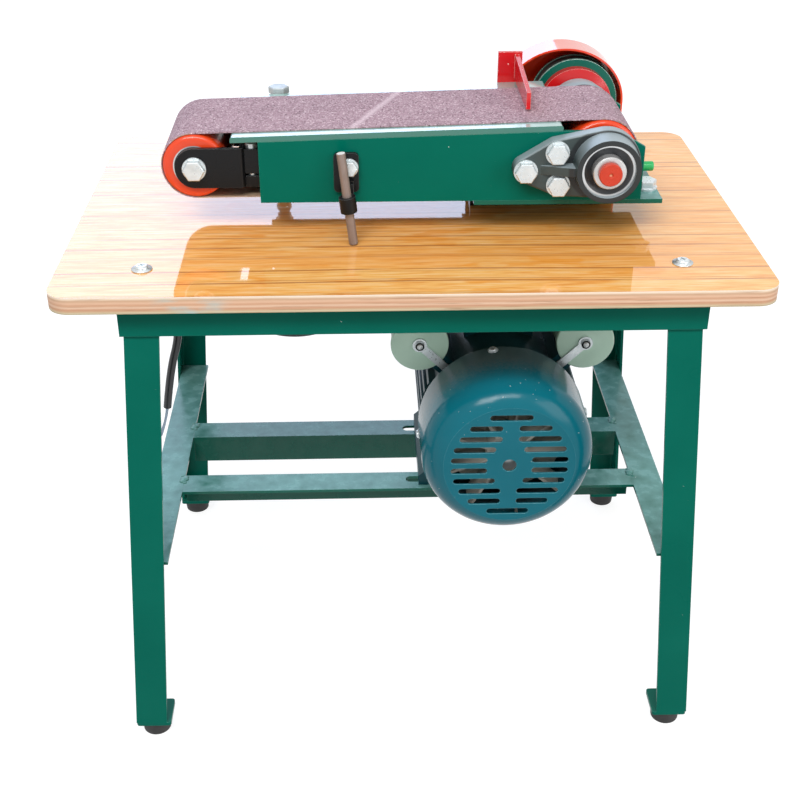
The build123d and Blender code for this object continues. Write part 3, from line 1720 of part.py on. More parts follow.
clipped_runs = [
    (Vector(start), Vector(end))
    for start, end in zip(lead_route, lead_route[1:])
    if min(start[2], end[2]) > underside - clip_reach
]
with BuildPart() as cable_clips:
    for run_start, run_end in clipped_runs:
        spot = (run_start + run_end) / 2
        heading = run_end - run_start
        flat = Vector(heading.X, heading.Y, 0).normalized()
        clip_plane = Plane(origin=spot - flat * (clip_length / 2), x_dir=Vector(0, 0, 1), z_dir=flat)
        drop = underside - spot.Z
        with BuildSketch(clip_plane):
            with Locations((drop, 0)):
                Rectangle(
                    drop + lead_radius + clip_wall,
                    2 * (lead_radius + clip_wall),
                    align=(Align.MAX, Align.CENTER),
                )
            Circle(lead_radius + clip_clearance, mode=Mode.SUBTRACT)
        extrude(amount=clip_length)
save(cable_clips, "cable_clips")
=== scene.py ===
from math import cos, pi, radians, sin

import bmesh
import bpy
from mathutils import Matrix, Vector


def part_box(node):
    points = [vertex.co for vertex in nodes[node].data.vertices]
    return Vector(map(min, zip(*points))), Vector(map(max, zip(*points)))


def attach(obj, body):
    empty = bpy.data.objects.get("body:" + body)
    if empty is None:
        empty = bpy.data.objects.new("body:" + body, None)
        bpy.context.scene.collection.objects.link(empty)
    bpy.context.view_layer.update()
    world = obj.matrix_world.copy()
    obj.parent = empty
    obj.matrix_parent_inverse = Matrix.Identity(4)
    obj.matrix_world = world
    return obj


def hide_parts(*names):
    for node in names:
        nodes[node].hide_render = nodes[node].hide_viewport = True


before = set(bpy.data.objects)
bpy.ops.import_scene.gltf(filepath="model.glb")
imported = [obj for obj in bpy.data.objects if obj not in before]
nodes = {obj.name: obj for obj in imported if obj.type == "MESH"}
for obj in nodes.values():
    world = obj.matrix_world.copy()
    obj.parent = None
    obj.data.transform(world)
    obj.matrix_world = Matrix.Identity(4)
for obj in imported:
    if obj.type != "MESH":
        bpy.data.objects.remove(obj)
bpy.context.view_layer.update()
mm = 0.001
# the middle of a noise's range, where most of its values lie
noiseSpan = (0.3, 0.7)
noiseMean = 0.5
bevelSamples = 4
# the pairs of sockets that a span of values goes to
spanIn, spanOut = ("From Min", "From Max"), ("To Min", "To Max")
# axes that several finishes and pieces share, and the planes across an axis along Y or Z
spindleAxis, lockBoltAxis = (169, 0, 552.5), (-121.1, 52.5, 0)
upright, lying = (1, 0, 1), (1, 1, 0)
print("frame loaded:", len(nodes), "nodes")


# sRGB hex to a linear colour
def linear(code):
    parts = [int(code[i:i + 2], 16) / 255 for i in (1, 3, 5)]
    return [c / 12.92 if c <= 0.04045 else ((c + 0.055) / 1.055) ** 2.4 for c in parts] + [1]


# how many times a pattern of this size in millimetres repeats in a metre
def per(size):
    return 1000 / size


# adds a node: inputs are values or sockets to link, where a pair of names takes a pair of values,
# and stops are a ramp's (place, hex) pairs
def addNode(tree, kind, inputs=None, stops=(), **settings):
    node = tree.nodes.new("ShaderNode" + kind)
    for name, value in settings.items():
        setattr(node, name, value)
    for i, (at, code) in enumerate(stops):
        if i > 1:
            node.color_ramp.elements.new(at)
        node.color_ramp.elements[i].position = at
        node.color_ramp.elements[i].color = linear(code)
    for names, values in (inputs or {}).items():
        pairs = zip(names, values) if isinstance(names, tuple) else [(names, values)]
        for name, value in pairs:
            if isinstance(value, bpy.types.NodeSocket):
                tree.links.new(value, node.inputs[name])
            else:
                node.inputs[name].default_value = value
    return node


# a noise that drifts between two colours: its node and the mixed colour's
def clouded(tree, place, size, colour, shade, detail=4):
    cloud = addNode(tree, "TexNoise", {"Vector": place, "Scale": per(size), "Detail": detail})
    tone = addNode(tree, "Mix", {0: cloud.outputs[0], 6: linear(colour), 7: linear(shade)},
                   data_type="RGBA")
    return cloud, tone


# a noise drawn out to these lengths in millimetres along X, Y and Z
def stretched(tree, place, lengths, detail):
    drawn = addNode(tree, "Mapping", {"Vector": place, "Scale": [per(s) for s in lengths]})
    return addNode(tree, "TexNoise", {"Vector": drawn.outputs[0], "Scale": 1, "Detail": detail})


# a fresh material with its shader's fixed sockets set, and the coordinates that its patterns read
def newFinish(name, fixed):
    finish = bpy.data.materials.new(name)
    finish.use_nodes = True
    tree = finish.node_tree
    shader = tree.nodes["Principled BSDF"]
    for socket, value in fixed.items():
        shader.inputs[socket].default_value = value
    return finish, tree, shader, addNode(tree, "TexCoord").outputs["Object"]


def wire(tree, shader, **sockets):
    for name, socket in sockets.items():
        tree.links.new(socket, shader.inputs[name.replace("_", " ")])


def dress(finish, *names):
    for name in names:
        nodes[name].data.materials.clear()
        nodes[name].data.materials.append(finish)


# distance in metres from an axis through a place in millimetres; flat is 0 the way that it runs
def fromAxis(tree, place, through, flat):
    middle = [v * mm for v in through]
    out = addNode(tree, "VectorMath", {0: place, 1: middle}, operation="SUBTRACT")
    level = addNode(tree, "VectorMath", {0: out.outputs[0], 1: flat}, operation="MULTIPLY")
    return addNode(tree, "VectorMath", {0: level.outputs[0]}, operation="LENGTH").outputs["Value"]


# Camera, at the photograph's viewing angle
cameraLook = {"lens": 57.3, "sensor": 36, "place": (-44.4, -1147.1, 933.4),
              "pitch": 30.23, "yaw": 1.82, "roll": -0.1}
cameraData = bpy.data.cameras.new("camera")
cameraData.lens = cameraLook["lens"]
cameraData.sensor_width = cameraLook["sensor"]
camera = bpy.data.objects.new("camera", cameraData)
camera.location = Vector(cameraLook["place"]) * mm
camera.rotation_euler = (radians(90 - cameraLook["pitch"]), radians(cameraLook["roll"]),
                         radians(-cameraLook["yaw"]))
bpy.context.scene.collection.objects.link(camera)
bpy.context.scene.camera = camera
bpy.context.scene.view_settings.view_transform = "Standard"
print("camera set")


# Enamel on steel: a coat that levels to a gloss, with faint orange peel and brush waves; pale along
# the edges, partly wear and partly a painted highlight, and paler where it faces up, partly dust and
# partly a painted sheen; some finishes turn grey towards the back, a painted reflection
def enamel(look):
    finish, tree, shader, place = newFinish(look["name"], {
        "IOR": look["ior"], "Specular IOR Level": look["gloss"], "Coat Weight": look["coat"],
        "Coat Roughness": look["coatRough"], "Coat IOR": look["ior"]})
    facing = addNode(tree, "NewGeometry").outputs["Normal"]
    rounded = addNode(tree, "Bevel", {"Radius": look["rounding"] * mm},
                      samples=bevelSamples).outputs["Normal"]
    cloud, tone = clouded(tree, place, look["cloud"], look["colour"], look["shade"])
    grit = addNode(tree, "TexNoise", {"Vector": place, "Scale": per(look["chipSize"]), "Detail": 3})
    # pale along the edges: wear on some finishes, and on the green and teal a painted highlight
    turn = addNode(tree, "VectorMath", {0: rounded, 1: facing}, operation="DOT_PRODUCT")
    edge = addNode(tree, "MapRange", {"Value": turn.outputs["Value"], spanIn: look["edgeTurn"],
                                      "To Max": look["edgeShare"] / noiseMean})
    edgeWearAndHighlight = addNode(tree, "Math", {0: edge.outputs[0], 1: grit.outputs[0]}, operation="MULTIPLY")
    rubbedAndLitEdge = addNode(tree, "Mix", {0: edgeWearAndHighlight.outputs[0], 6: tone.outputs[2],
                                   7: linear(look["edge"])}, data_type="RGBA")
    chip = addNode(tree, "MapRange", {"Value": grit.outputs[0], "From Min": look["chipFrom"],
                                      "From Max": look["chipFrom"] + look["chipSoft"]})
    chipped = addNode(tree, "Mix", {0: chip.outputs[0], 6: rubbedAndLitEdge.outputs[2],
                                    7: linear(look["chip"])}, data_type="RGBA")
    # faces that look up are mixed towards a pale colour: a little dust, and on the rails, platen
    # strip, guard and bearing housings mostly a painted sheen
    up = addNode(tree, "SeparateXYZ", {0: addNode(tree, "TexCoord").outputs["Normal"]})
    dustAndSheenRise = addNode(tree, "MapRange", {"Value": up.outputs["Z"], "From Min": look["dustAndSheenFrom"],
                                      "To Max": look["dustAndSheen"]})
    dustAndSheenShare = addNode(tree, "Math", {0: dustAndSheenRise.outputs[0], 1: cloud.outputs[0]},
                      operation="MULTIPLY")
    dusty = addNode(tree, "Mix", {0: dustAndSheenShare.outputs[0], 6: chipped.outputs[2],
                                  7: linear(look["dustAndSheenColour"])}, data_type="RGBA")
    rough = addNode(tree, "MapRange", {"Value": cloud.outputs[0], spanIn: noiseSpan,
                                       spanOut: look["rough"]})
    peel = addNode(tree, "TexNoise", {"Vector": place, "Scale": per(look["peel"]), "Detail": 1})
    bump = addNode(tree, "Bump", {"Strength": look["peelDepth"],
                                  "Distance": look["peelHeight"] * mm,
                                  "Height": peel.outputs[0], "Normal": rounded})
    brushed = addNode(tree, "TexNoise", {"Vector": place, "Scale": per(look["wave"]), "Detail": 3})
    wavy = addNode(tree, "Bump", {"Strength": look["waveDepth"],
                                  "Distance": look["waveHeight"] * mm,
                                  "Height": brushed.outputs[0], "Normal": bump.outputs[0]})
    colour = dusty.outputs[2]
    # grey towards the back: a painted reflection of the table's dark underside, with painted shade
    if "paintedReflection" in look:
        start, end, code = look["paintedReflection"]
        along = addNode(tree, "SeparateXYZ", {0: place})
        reflectionNoise = addNode(tree, "TexNoise", {"Vector": place, "Scale": per(look["reflectionNoise"]), "Detail": 4})
        deep = addNode(tree, "Math", {0: reflectionNoise.outputs[0], 1: look["reflectionReach"] * mm,
                                      2: along.outputs["Y"]}, operation="MULTIPLY_ADD")
        share = addNode(tree, "MapRange", {"Value": deep.outputs[0], "From Min": start * mm,
                                           "From Max": end * mm, "To Max": look["reflectionShare"]})
        colour = addNode(tree, "Mix", {0: share.outputs[0], 6: colour, 7: linear(code)},
                         data_type="RGBA").outputs[2]
    if "ring" in look:
        axis, reach, code = look["ring"]
        share = addNode(tree, "MapRange", {"Value": fromAxis(tree, place, axis, upright),
                                           "From Min": (reach + look["ringSoft"]) * mm,
                                           "From Max": (reach - look["ringSoft"]) * mm})
        front = addNode(tree, "MapRange", {"Value": up.outputs["Y"], spanIn: look["ringTurn"]})
        faced = addNode(tree, "Math", {0: share.outputs[0], 1: front.outputs[0]},
                        operation="MULTIPLY")
        colour = addNode(tree, "Mix", {0: faced.outputs[0], 6: colour, 7: linear(code)},
                         data_type="RGBA").outputs[2]
    wire(tree, shader, Base_Color=colour, Roughness=rough.outputs[0], Normal=wavy.outputs[0])
    return finish


enamelPlain = {"ior": 1.5, "gloss": 0.18, "coat": 0, "coatRough": 0.06, "rough": (0.16, 0.28),
               "rounding": 0.7, "edgeTurn": (0.99, 0.88), "edgeShare": 0.2, "chip": "#D6E2DC",
               "chipSize": 4, "chipFrom": 0.77, "chipSoft": 0.02, "dustAndSheen": 0.05, "dustAndSheenFrom": 0.2,
               "dustAndSheenColour": "#B9C6C4", "cloud": 70, "peel": 2.2, "peelDepth": 0.10,
               "peelHeight": 0.2, "wave": 9, "waveDepth": 0.2, "waveHeight": 0.25, "reflectionNoise": 2.5,
               "reflectionReach": 30, "reflectionShare": 0.85, "ringSoft": 0.8, "ringTurn": (-0.4, -0.8)}
# brushed on the stand and head: deep green, low sheen, with a pale line along the edges that is a
# painted highlight
greenEnamel = enamel(dict(enamelPlain, name="brushedGreenEnamel", colour="#006A59",
                          shade="#005C4D", edge="#62B8A6", edgeShare=0.4, gloss=0.06))
# brushed on thick, so that it waves; its up-facing tops are turned pale cyan, a painted reflection
railEnamel = enamel(dict(enamelPlain, name="thickGreenEnamel", colour="#00614F",
                         shade="#005446", edge="#3C9A86", gloss=0.3, waveDepth=0.55, dustAndSheen=0.75,
                         dustAndSheenColour="#A3DCDC", rough=(0.12, 0.34), cloud=14))
# rubbed nearly white along the rims
pulleyEnamel = enamel(dict(enamelPlain, name="wornGreenEnamel", colour="#006A59",
                           shade="#005C4D", edge="#D5EBE4", edgeShare=1.0, gloss=0.4,
                           rounding=1.2))
# sanded smooth under a clear coat, which mirrors the light behind it; its top is also painted pale
# mint, a painted reflection
stripEnamel = enamel(dict(enamelPlain, name="glossGreenEnamel", colour="#01705F",
                          shade="#015F51", edge="#3C9A86", gloss=0.6, coat=1, rough=(0.10, 0.18),
                          dustAndSheen=0.9, dustAndSheenColour="#D6F7F4"))
# sprayed: blue-green on the face, with pale edges, partly chips and partly a painted highlight;
# towards the back it turns grey, a painted reflection of the table's dark underside with painted
# shade
tealEnamel = enamel(dict(enamelPlain, name="sprayedTealEnamel", colour="#036C7C",
                         shade="#025D6B", edge="#8FD0D8", edgeShare=0.7, chipSize=3,
                         chipFrom=0.735, gloss=0.2, rough=(0.14, 0.24), dustAndSheen=0.02,
                         paintedReflection=(-108, -82, "#5F7376")))
# darker and duller than the fan cover's teal: the darkening is painted shade from the table above
# the motor
shadedTealEnamel = enamel(dict(enamelPlain, name="tealEnamelPaintedShade", colour="#0B444C",
                             shade="#08343B", edge="#3D7F88", rough=(0.24, 0.38)))
# sprayed and baked to a sharp gloss; its up-facing crown is also painted pale pink, a painted sheen
orangeEnamel = enamel(dict(enamelPlain, name="sprayedOrangeEnamel", colour="#EA3E12",
                           shade="#DB340C", edge="#FF8A5E", chipFrom=0.9, gloss=0.5, coat=0.7,
                           dustAndSheen=0.5, dustAndSheenColour="#F8B7A8", rough=(0.08, 0.14)))
# glossy, with white chips along sharp edges
redEnamel = enamel(dict(enamelPlain, name="brushedRedEnamel", colour="#D7141A", shade="#B80F16",
                        edge="#F7C3BB", edgeShare=0.8, chip="#F3D9D4", chipSize=3, chipFrom=0.70,
                        gloss=0.55, dustAndSheen=0.02, rough=(0.10, 0.20)))
# nearly no colour, a satin sheen and grey edges
blackEnamel = enamel(dict(enamelPlain, name="satinBlackEnamel", colour="#0C0D0F", shade="#131416",
                          edge="#6E7375", edgeShare=0.5, chip="#7A7C7C", chipFrom=0.79, gloss=0.2,
                          rough=(0.2, 0.34), dustAndSheen=0.03))
# follows the cast skin's dimples; its machined front face is darker, and its up-facing top is
# painted pale grey-blue, a painted sheen
castEnamel = enamel(dict(enamelPlain, name="greyEnamelOnCastIron", colour="#3F4B4B",
                         shade="#333E3E", edge="#8A989C", chip="#6B7475", chipFrom=0.72,
                         rough=(0.26, 0.40), peel=3, peelDepth=0.45, rounding=1.0, gloss=0.4,
                         dustAndSheen=0.9, dustAndSheenColour="#C3D3DA", ring=(spindleAxis, 34, "#23282A")))
dress(greenEnamel, "long_aprons", "side_aprons", "legs", "side_plate_front", "side_plate_rear",
      "slide_block")
dress(pulleyEnamel, "driven_pulley")
dress(railEnamel, "side_rails", "motor_rails", "base_plate")
dress(stripEnamel, "platen")
dress(tealEnamel, "fan_cover")
dress(shadedTealEnamel, "motor_housing", "end_shield_fan", "end_shield_drive")
dress(orangeEnamel, "belt_guard")
dress(redEnamel, "stop_fence", "pulley_hub")
dress(blackEnamel, "pedestal", "idler_yoke", "yoke_block", "prop_bracket", "terminal_box",
      "guide_bars")
dress(castEnamel, "bearing_housings")
print("enamels mixed")


# Metal straight from the plating bath or the lathe: grain roughens it, tarnish lies in patches, and
# an end that faces up has its own colour
def bareMetal(look):
    finish, tree, shader, place = newFinish(look["name"], {"Metallic": look["metal"]})
    rounded = addNode(tree, "Bevel", {"Radius": look["rounding"] * mm},
                      samples=bevelSamples).outputs["Normal"]
    cloud, tone = clouded(tree, place, look["cloud"], look["colour"], look["tarnish"])
    up = addNode(tree, "SeparateXYZ", {0: addNode(tree, "TexCoord").outputs["Normal"]})
    sawn = addNode(tree, "MapRange", {"Value": up.outputs["Z"], spanIn: look["topTurn"]})
    colour = addNode(tree, "Mix", {0: sawn.outputs[0], 6: tone.outputs[2],
                                   7: linear(look["top"])}, data_type="RGBA")
    grain = stretched(tree, place, look["grain"], 2)
    rough = addNode(tree, "MapRange", {"Value": grain.outputs[0], spanIn: noiseSpan,
                                       spanOut: look["rough"]})
    bump = addNode(tree, "Bump", {"Strength": look["depth"], "Distance": look["grainHeight"] * mm,
                                  "Height": grain.outputs[0], "Normal": rounded})
    wire(tree, shader, Base_Color=colour.outputs[2], Roughness=rough.outputs[0],
         Normal=bump.outputs[0])
    return finish


# grain is the pattern's length along X, Y and Z, coarser than the real grain so that it shows
metalPlain = {"topTurn": (0.85, 0.95), "grainHeight": 0.05, "rounding": 0.4}
# blue-white, with the plating bath's cloudy bloom
zincPlate = bareMetal(dict(metalPlain, name="brightZincPlate", colour="#E2E9EB", tarnish="#B7BFC2",
                           top="#E2E9EB", metal=0.6, cloud=7, grain=(3, 3, 3), rough=(0.24, 0.40),
                           depth=0.3))
# neutral grey, with fine rings from the grinding wheel
groundSteel = bareMetal(dict(metalPlain, name="groundSteel", colour="#D6D6D6", tarnish="#ABAAA9",
                             top="#D6D6D6", metal=0.65, cloud=12, grain=(30, 0.8, 30),
                             rough=(0.18, 0.36), depth=0.4))
# brown and dull, drawn along its length, with a bright sawn end
brownedSteel = bareMetal(dict(metalPlain, name="brownedSteel", colour="#978983", tarnish="#6E5F57",
                              top="#E8E4E0", metal=0.25, cloud=14, grain=(2, 2, 25),
                              rough=(0.34, 0.55), depth=0.5, rounding=0.5))
# soft white metal, with the lathe tool's rings
turnedAlloy = bareMetal(dict(metalPlain, name="turnedAluminium", colour="#C9CACB",
                             tarnish="#A3A4A4", top="#C9CACB", metal=1, cloud=25,
                             grain=(40, 0.9, 40), rough=(0.25, 0.42), depth=0.5))
# dark, lined by the stacked sheets
coreSteel = bareMetal(dict(metalPlain, name="laminatedCoreSteel", colour="#6E6E70",
                           tarnish="#4C4B4A", top="#6E6E70", metal=1, cloud=20,
                           grain=(30, 0.7, 30), rough=(0.4, 0.6), depth=0.6, rounding=0.3))
# pale and matt, so that it stays bright in shade: a painted glint on the strap screw heads
glintPaintedMetal = bareMetal(dict(metalPlain, name="palePaintedGlintMetal", colour="#F1F3F3",
                             tarnish="#D8DCDD", top="#F1F3F3", metal=0.2, cloud=4, grain=(2, 2, 2),
                             rough=(0.3, 0.45), depth=0.2, rounding=0.3))
dress(zincPlate, "table_screws", "cover_screws", "motor_bolts", "guard_screws", "base_screws",
      "hex_bolts", "capped_screw", "tracking_pins", "capacitor_straps", "idler_axle")
dress(groundSteel, "motor_bearings", "rotor_shaft", "inner_rings", "idler_bearings")
dress(brownedSteel, "prop_rod")
dress(turnedAlloy, "motor_pulley")
dress(coreSteel, "rotor_core")

# Sealed bearing: a bright steel race round a black seal that grease has smeared
bearingLook = {"axis": spindleAxis, "race": 21.2, "raceSoft": 0.15, "raceColour": "#C9CCCE",
               "seal": "#16181C", "grease": "#2C3035", "smear": 9, "rough": (0.2, 0.45)}


def bearingFinish(look):
    finish, tree, shader, place = newFinish("racedAndSealedBearing", {})
    radius = fromAxis(tree, place, look["axis"], upright)
    race = addNode(tree, "MapRange", {"Value": radius,
                                      "From Min": (look["race"] - look["raceSoft"]) * mm,
                                      "From Max": (look["race"] + look["raceSoft"]) * mm})
    smear, grease = clouded(tree, place, look["smear"], look["seal"], look["grease"])
    colour = addNode(tree, "Mix", {0: race.outputs[0], 6: grease.outputs[2],
                                   7: linear(look["raceColour"])}, data_type="RGBA")
    rough = addNode(tree, "MapRange", {"Value": smear.outputs[0], spanOut: look["rough"]})
    wire(tree, shader, Base_Color=colour.outputs[2], Metallic=race.outputs[0],
         Roughness=rough.outputs[0])
    return finish


# Spindle: turned steel whose front end was dipped in orange paint, with a pale spot in its centre
# mark
spindleLook = {"axis": spindleAxis, "dipped": -113.5, "dipSoft": 0.3, "dip": "#CB3814",
               "dipShade": "#B52C0D", "brush": 4, "dimple": 1.6, "dimpleFlat": 0.4,
               "dimpleDepth": 0.8, "dimpleColour": "#F0B08F", "steel": "#AEAFB1",
               "rough": (0.2, 0.4)}


def spindleFinish(look):
    finish, tree, shader, place = newFinish("paintDippedSpindle", {})
    radius = fromAxis(tree, place, look["axis"], upright)
    along = addNode(tree, "SeparateXYZ", {0: place})
    bare = addNode(tree, "MapRange", {"Value": along.outputs["Y"], "From Min": look["dipped"] * mm,
                                      "From Max": (look["dipped"] + look["dipSoft"]) * mm})
    brush, paint = clouded(tree, place, look["brush"], look["dip"], look["dipShade"], detail=3)
    hole = addNode(tree, "MapRange", {"Value": radius, "From Min": look["dimple"] * mm,
                                      "From Max": look["dimpleFlat"] * look["dimple"] * mm})
    centred = addNode(tree, "Mix", {0: hole.outputs[0], 6: paint.outputs[2],
                                    7: linear(look["dimpleColour"])}, data_type="RGBA")
    colour = addNode(tree, "Mix", {0: bare.outputs[0], 6: centred.outputs[2],
                                   7: linear(look["steel"])}, data_type="RGBA")
    bump = addNode(tree, "Bump", {"Strength": 1, "Distance": look["dimpleDepth"] * mm,
                                  "Height": hole.outputs[0]}, invert=True)
    rough = addNode(tree, "MapRange", {"Value": brush.outputs[0], spanOut: look["rough"]})
    wire(tree, shader, Base_Color=colour.outputs[2], Metallic=bare.outputs[0],
         Roughness=rough.outputs[0], Normal=bump.outputs[0])
    return finish


# Lock bolt: dull zinc, with its thread as ridges two pitches apart, so that they show
threadLook = {"axis": lockBoltAxis, "pitch": 1.5, "shank": 5.05, "zinc": "#C9CFD1",
              "zincShade": "#9AA1A3", "cloud": 6, "metal": 0.5, "rough": (0.35, 0.6)}


def threadedFinish(look):
    finish, tree, shader, place = newFinish("zincPlatedThread", {"Metallic": look["metal"]})
    radius = fromAxis(tree, place, look["axis"], lying)
    shank = addNode(tree, "Math", {0: radius, 1: look["shank"] * mm}, operation="LESS_THAN")
    up = addNode(tree, "SeparateXYZ", {0: place})
    ridge = addNode(tree, "Math", {0: up.outputs["Z"], 1: look["pitch"] * mm},
                    operation="PINGPONG")
    height = addNode(tree, "Math", {0: ridge.outputs[0], 1: shank.outputs[0]},
                     operation="MULTIPLY")
    cloud, tone = clouded(tree, place, look["cloud"], look["zinc"], look["zincShade"])
    rough = addNode(tree, "MapRange", {"Value": cloud.outputs[0], spanOut: look["rough"]})
    bump = addNode(tree, "Bump", {"Strength": 1, "Distance": 1, "Height": height.outputs[0]})
    wire(tree, shader, Base_Color=tone.outputs[2], Roughness=rough.outputs[0],
         Normal=bump.outputs[0])
    return finish


# Front roller: a glossy polyurethane tyre cast on to a steel core, which shows at the end as a
# bright ring round a dark seal
tyreLook = {"axis": (-190.118, 0, 546.5), "core": 19.0, "lip": 17.9, "soft": 0.15,
            "tyre": "#E5471B", "tyreShade": "#D33A12", "ring": "#C9CCCE", "seal": "#16181C",
            "cloud": 30, "ior": 1.52, "shine": 0.6, "rough": (0.14, 0.32)}


def tyreFinish(look):
    finish, tree, shader, place = newFinish("tyreOnSteelCore", {"IOR": look["ior"]})
    radius = fromAxis(tree, place, look["axis"], upright)
    core = addNode(tree, "MapRange", {"Value": radius,
                                      "From Min": (look["core"] + look["soft"]) * mm,
                                      "From Max": (look["core"] - look["soft"]) * mm})
    cloud, cast = clouded(tree, place, look["cloud"], look["tyre"], look["tyreShade"])
    ringed = addNode(tree, "Mix", {0: core.outputs[0], 6: cast.outputs[2],
                                   7: linear(look["ring"])}, data_type="RGBA")
    sunk = addNode(tree, "MapRange", {"Value": radius,
                                      "From Min": (look["lip"] + look["soft"]) * mm,
                                      "From Max": (look["lip"] - look["soft"]) * mm})
    colour = addNode(tree, "Mix", {0: sunk.outputs[0], 6: ringed.outputs[2],
                                   7: linear(look["seal"])}, data_type="RGBA")
    shiny = addNode(tree, "Math", {0: core.outputs[0], 1: look["shine"]}, operation="MULTIPLY")
    rough = addNode(tree, "MapRange", {"Value": cloud.outputs[0], spanOut: look["rough"]})
    wire(tree, shader, Base_Color=colour.outputs[2], Metallic=shiny.outputs[0],
         Roughness=rough.outputs[0])
    return finish


dress(bearingFinish(bearingLook), "bearing_inserts")
dress(tyreFinish(tyreLook), "idler_roller")
dress(spindleFinish(spindleLook), "drive_shaft")
dress(threadedFinish(threadLook), "lock_bolt")
print("metals finished")


# Moulded plastic and rubber: even colour, a soft sheen and the mould's spark texture, drawn coarser
# than real so that it shows
def moulded(look):
    finish, tree, shader, place = newFinish(look["name"], {"IOR": look["ior"]})
    rounded = addNode(tree, "Bevel", {"Radius": look["rounding"] * mm},
                      samples=bevelSamples).outputs["Normal"]
    cloud, tone = clouded(tree, place, look["cloud"], look["colour"], look["shade"])
    spark = addNode(tree, "TexNoise", {"Vector": place, "Scale": per(look["spark"]), "Detail": 2})
    rough = addNode(tree, "MapRange", {"Value": cloud.outputs[0], spanIn: noiseSpan,
                                       spanOut: look["rough"]})
    bump = addNode(tree, "Bump", {"Strength": look["depth"], "Distance": look["sparkHeight"] * mm,
                                  "Height": spark.outputs[0], "Normal": rounded})
    wire(tree, shader, Base_Color=tone.outputs[2], Roughness=rough.outputs[0],
         Normal=bump.outputs[0])
    return finish


mouldPlain = {"rounding": 0.5, "sparkHeight": 0.1}
# a smooth, slightly greasy gloss
castTyre = moulded(dict(mouldPlain, name="castPolyurethane", colour="#E8451A", shade="#D63A12",
                        cloud=30, spark=2.5, rough=(0.18, 0.30), depth=0.12, ior=1.52))
# matt black with a grey bloom
footRubber = moulded(dict(mouldPlain, name="mouldedRubber", colour="#151515", shade="#222221",
                          cloud=12, spark=1.2, rough=(0.55, 0.75), depth=0.4, ior=1.52))
# rubbered cloth: no shine at all
veeRubber = moulded(dict(mouldPlain, name="wrappedVeeBelt", colour="#1A1A1A", shade="#2B2A28",
                         cloud=9, spark=1.0, rough=(0.65, 0.85), depth=0.6, ior=1.52))
# even black with a soft sheen
blackNylon = moulded(dict(mouldPlain, name="blackNylon", colour="#17181A", shade="#202123",
                          cloud=15, spark=1.0, rough=(0.32, 0.48), depth=0.25, ior=1.53))
# waxy, off-white, dusty in patches
fanPlastic = moulded(dict(mouldPlain, name="greyFanPolypropylene", colour="#D6D2C6",
                          shade="#BDB9AE", cloud=20, spark=1.5, rough=(0.4, 0.55), depth=0.2,
                          ior=1.49))
# pale green and clean
capPlastic = moulded(dict(mouldPlain, name="paleGreenAbs", colour="#D3F2DD", shade="#C1E1CC",
                          cloud=18, spark=1.0, rough=(0.28, 0.42), depth=0.2, ior=1.53))
# a smooth grey-green lacquer
canLacquer = moulded(dict(mouldPlain, name="lacqueredCan", colour="#9AB9A9", shade="#88A999",
                          cloud=35, spark=1.6, rough=(0.25, 0.40), depth=0.1, ior=1.5))
# dipped, so wet-looking and bright
vinylCap = moulded(dict(mouldPlain, name="brightGreenVinyl", colour="#2FBE6C", shade="#12A04C",
                        cloud=8, spark=1.0, rough=(0.18, 0.28), depth=0.1, ior=1.53))
dress(castTyre, "drive_drum")
dress(footRubber, "rubber_feet")
dress(veeRubber, "v_belt")
dress(blackNylon, "cable_gland", "cable_clips")
dress(fanPlastic, "cooling_fan")
dress(capPlastic, "capacitor_caps")
dress(canLacquer, "capacitors")
dress(vinylCap, "screw_cap")
print("plastics and rubbers moulded")


# Printed laminate: wood grain under clear melamine pressed to a mirror gloss; its lines are drawn
# wider than a printed grain so that they show at the camera's low angle. Sizes run along X, Y and Z,
# and 1000 keeps a pattern the same through the sheet
laminateLook = {"pale": "#FCCE90", "honey": "#FABB69", "deep": "#EC9C4A", "line": "#97491F",
                "patch": "#F0931F", "edge": "#F1DFCB", "rough": 0.05, "ior": 1.5, "coat": 0.6,
                "coatRough": 0.02, "swayLength": 420, "sway": 14, "streakSize": (30, 2.6, 1000),
                "streakStops": (0.30, 0.50, 0.72), "bandSize": (500, 38, 1000),
                "bandSpan": (0.45, 0.75), "bandShare": 0.6, "patchSize": (60, 26, 1000),
                "patchSpan": (0.62, 0.68), "patchShare": 0.45, "sideTurn": 0.5}
lineLook = {"gap": 27, "width": 3.0, "share": 0.95, "fadeSize": (90, 27, 1000)}
hairLook = {"gap": 10, "width": 2.0, "share": 0.45, "fadeSize": (90, 10, 1000)}
grainLook = {"spots": (0.15, 0.85), "foot": 0.6, "core": 0.15, "faintest": 0.2,
             "fadeSpan": (0.3, 0.5)}


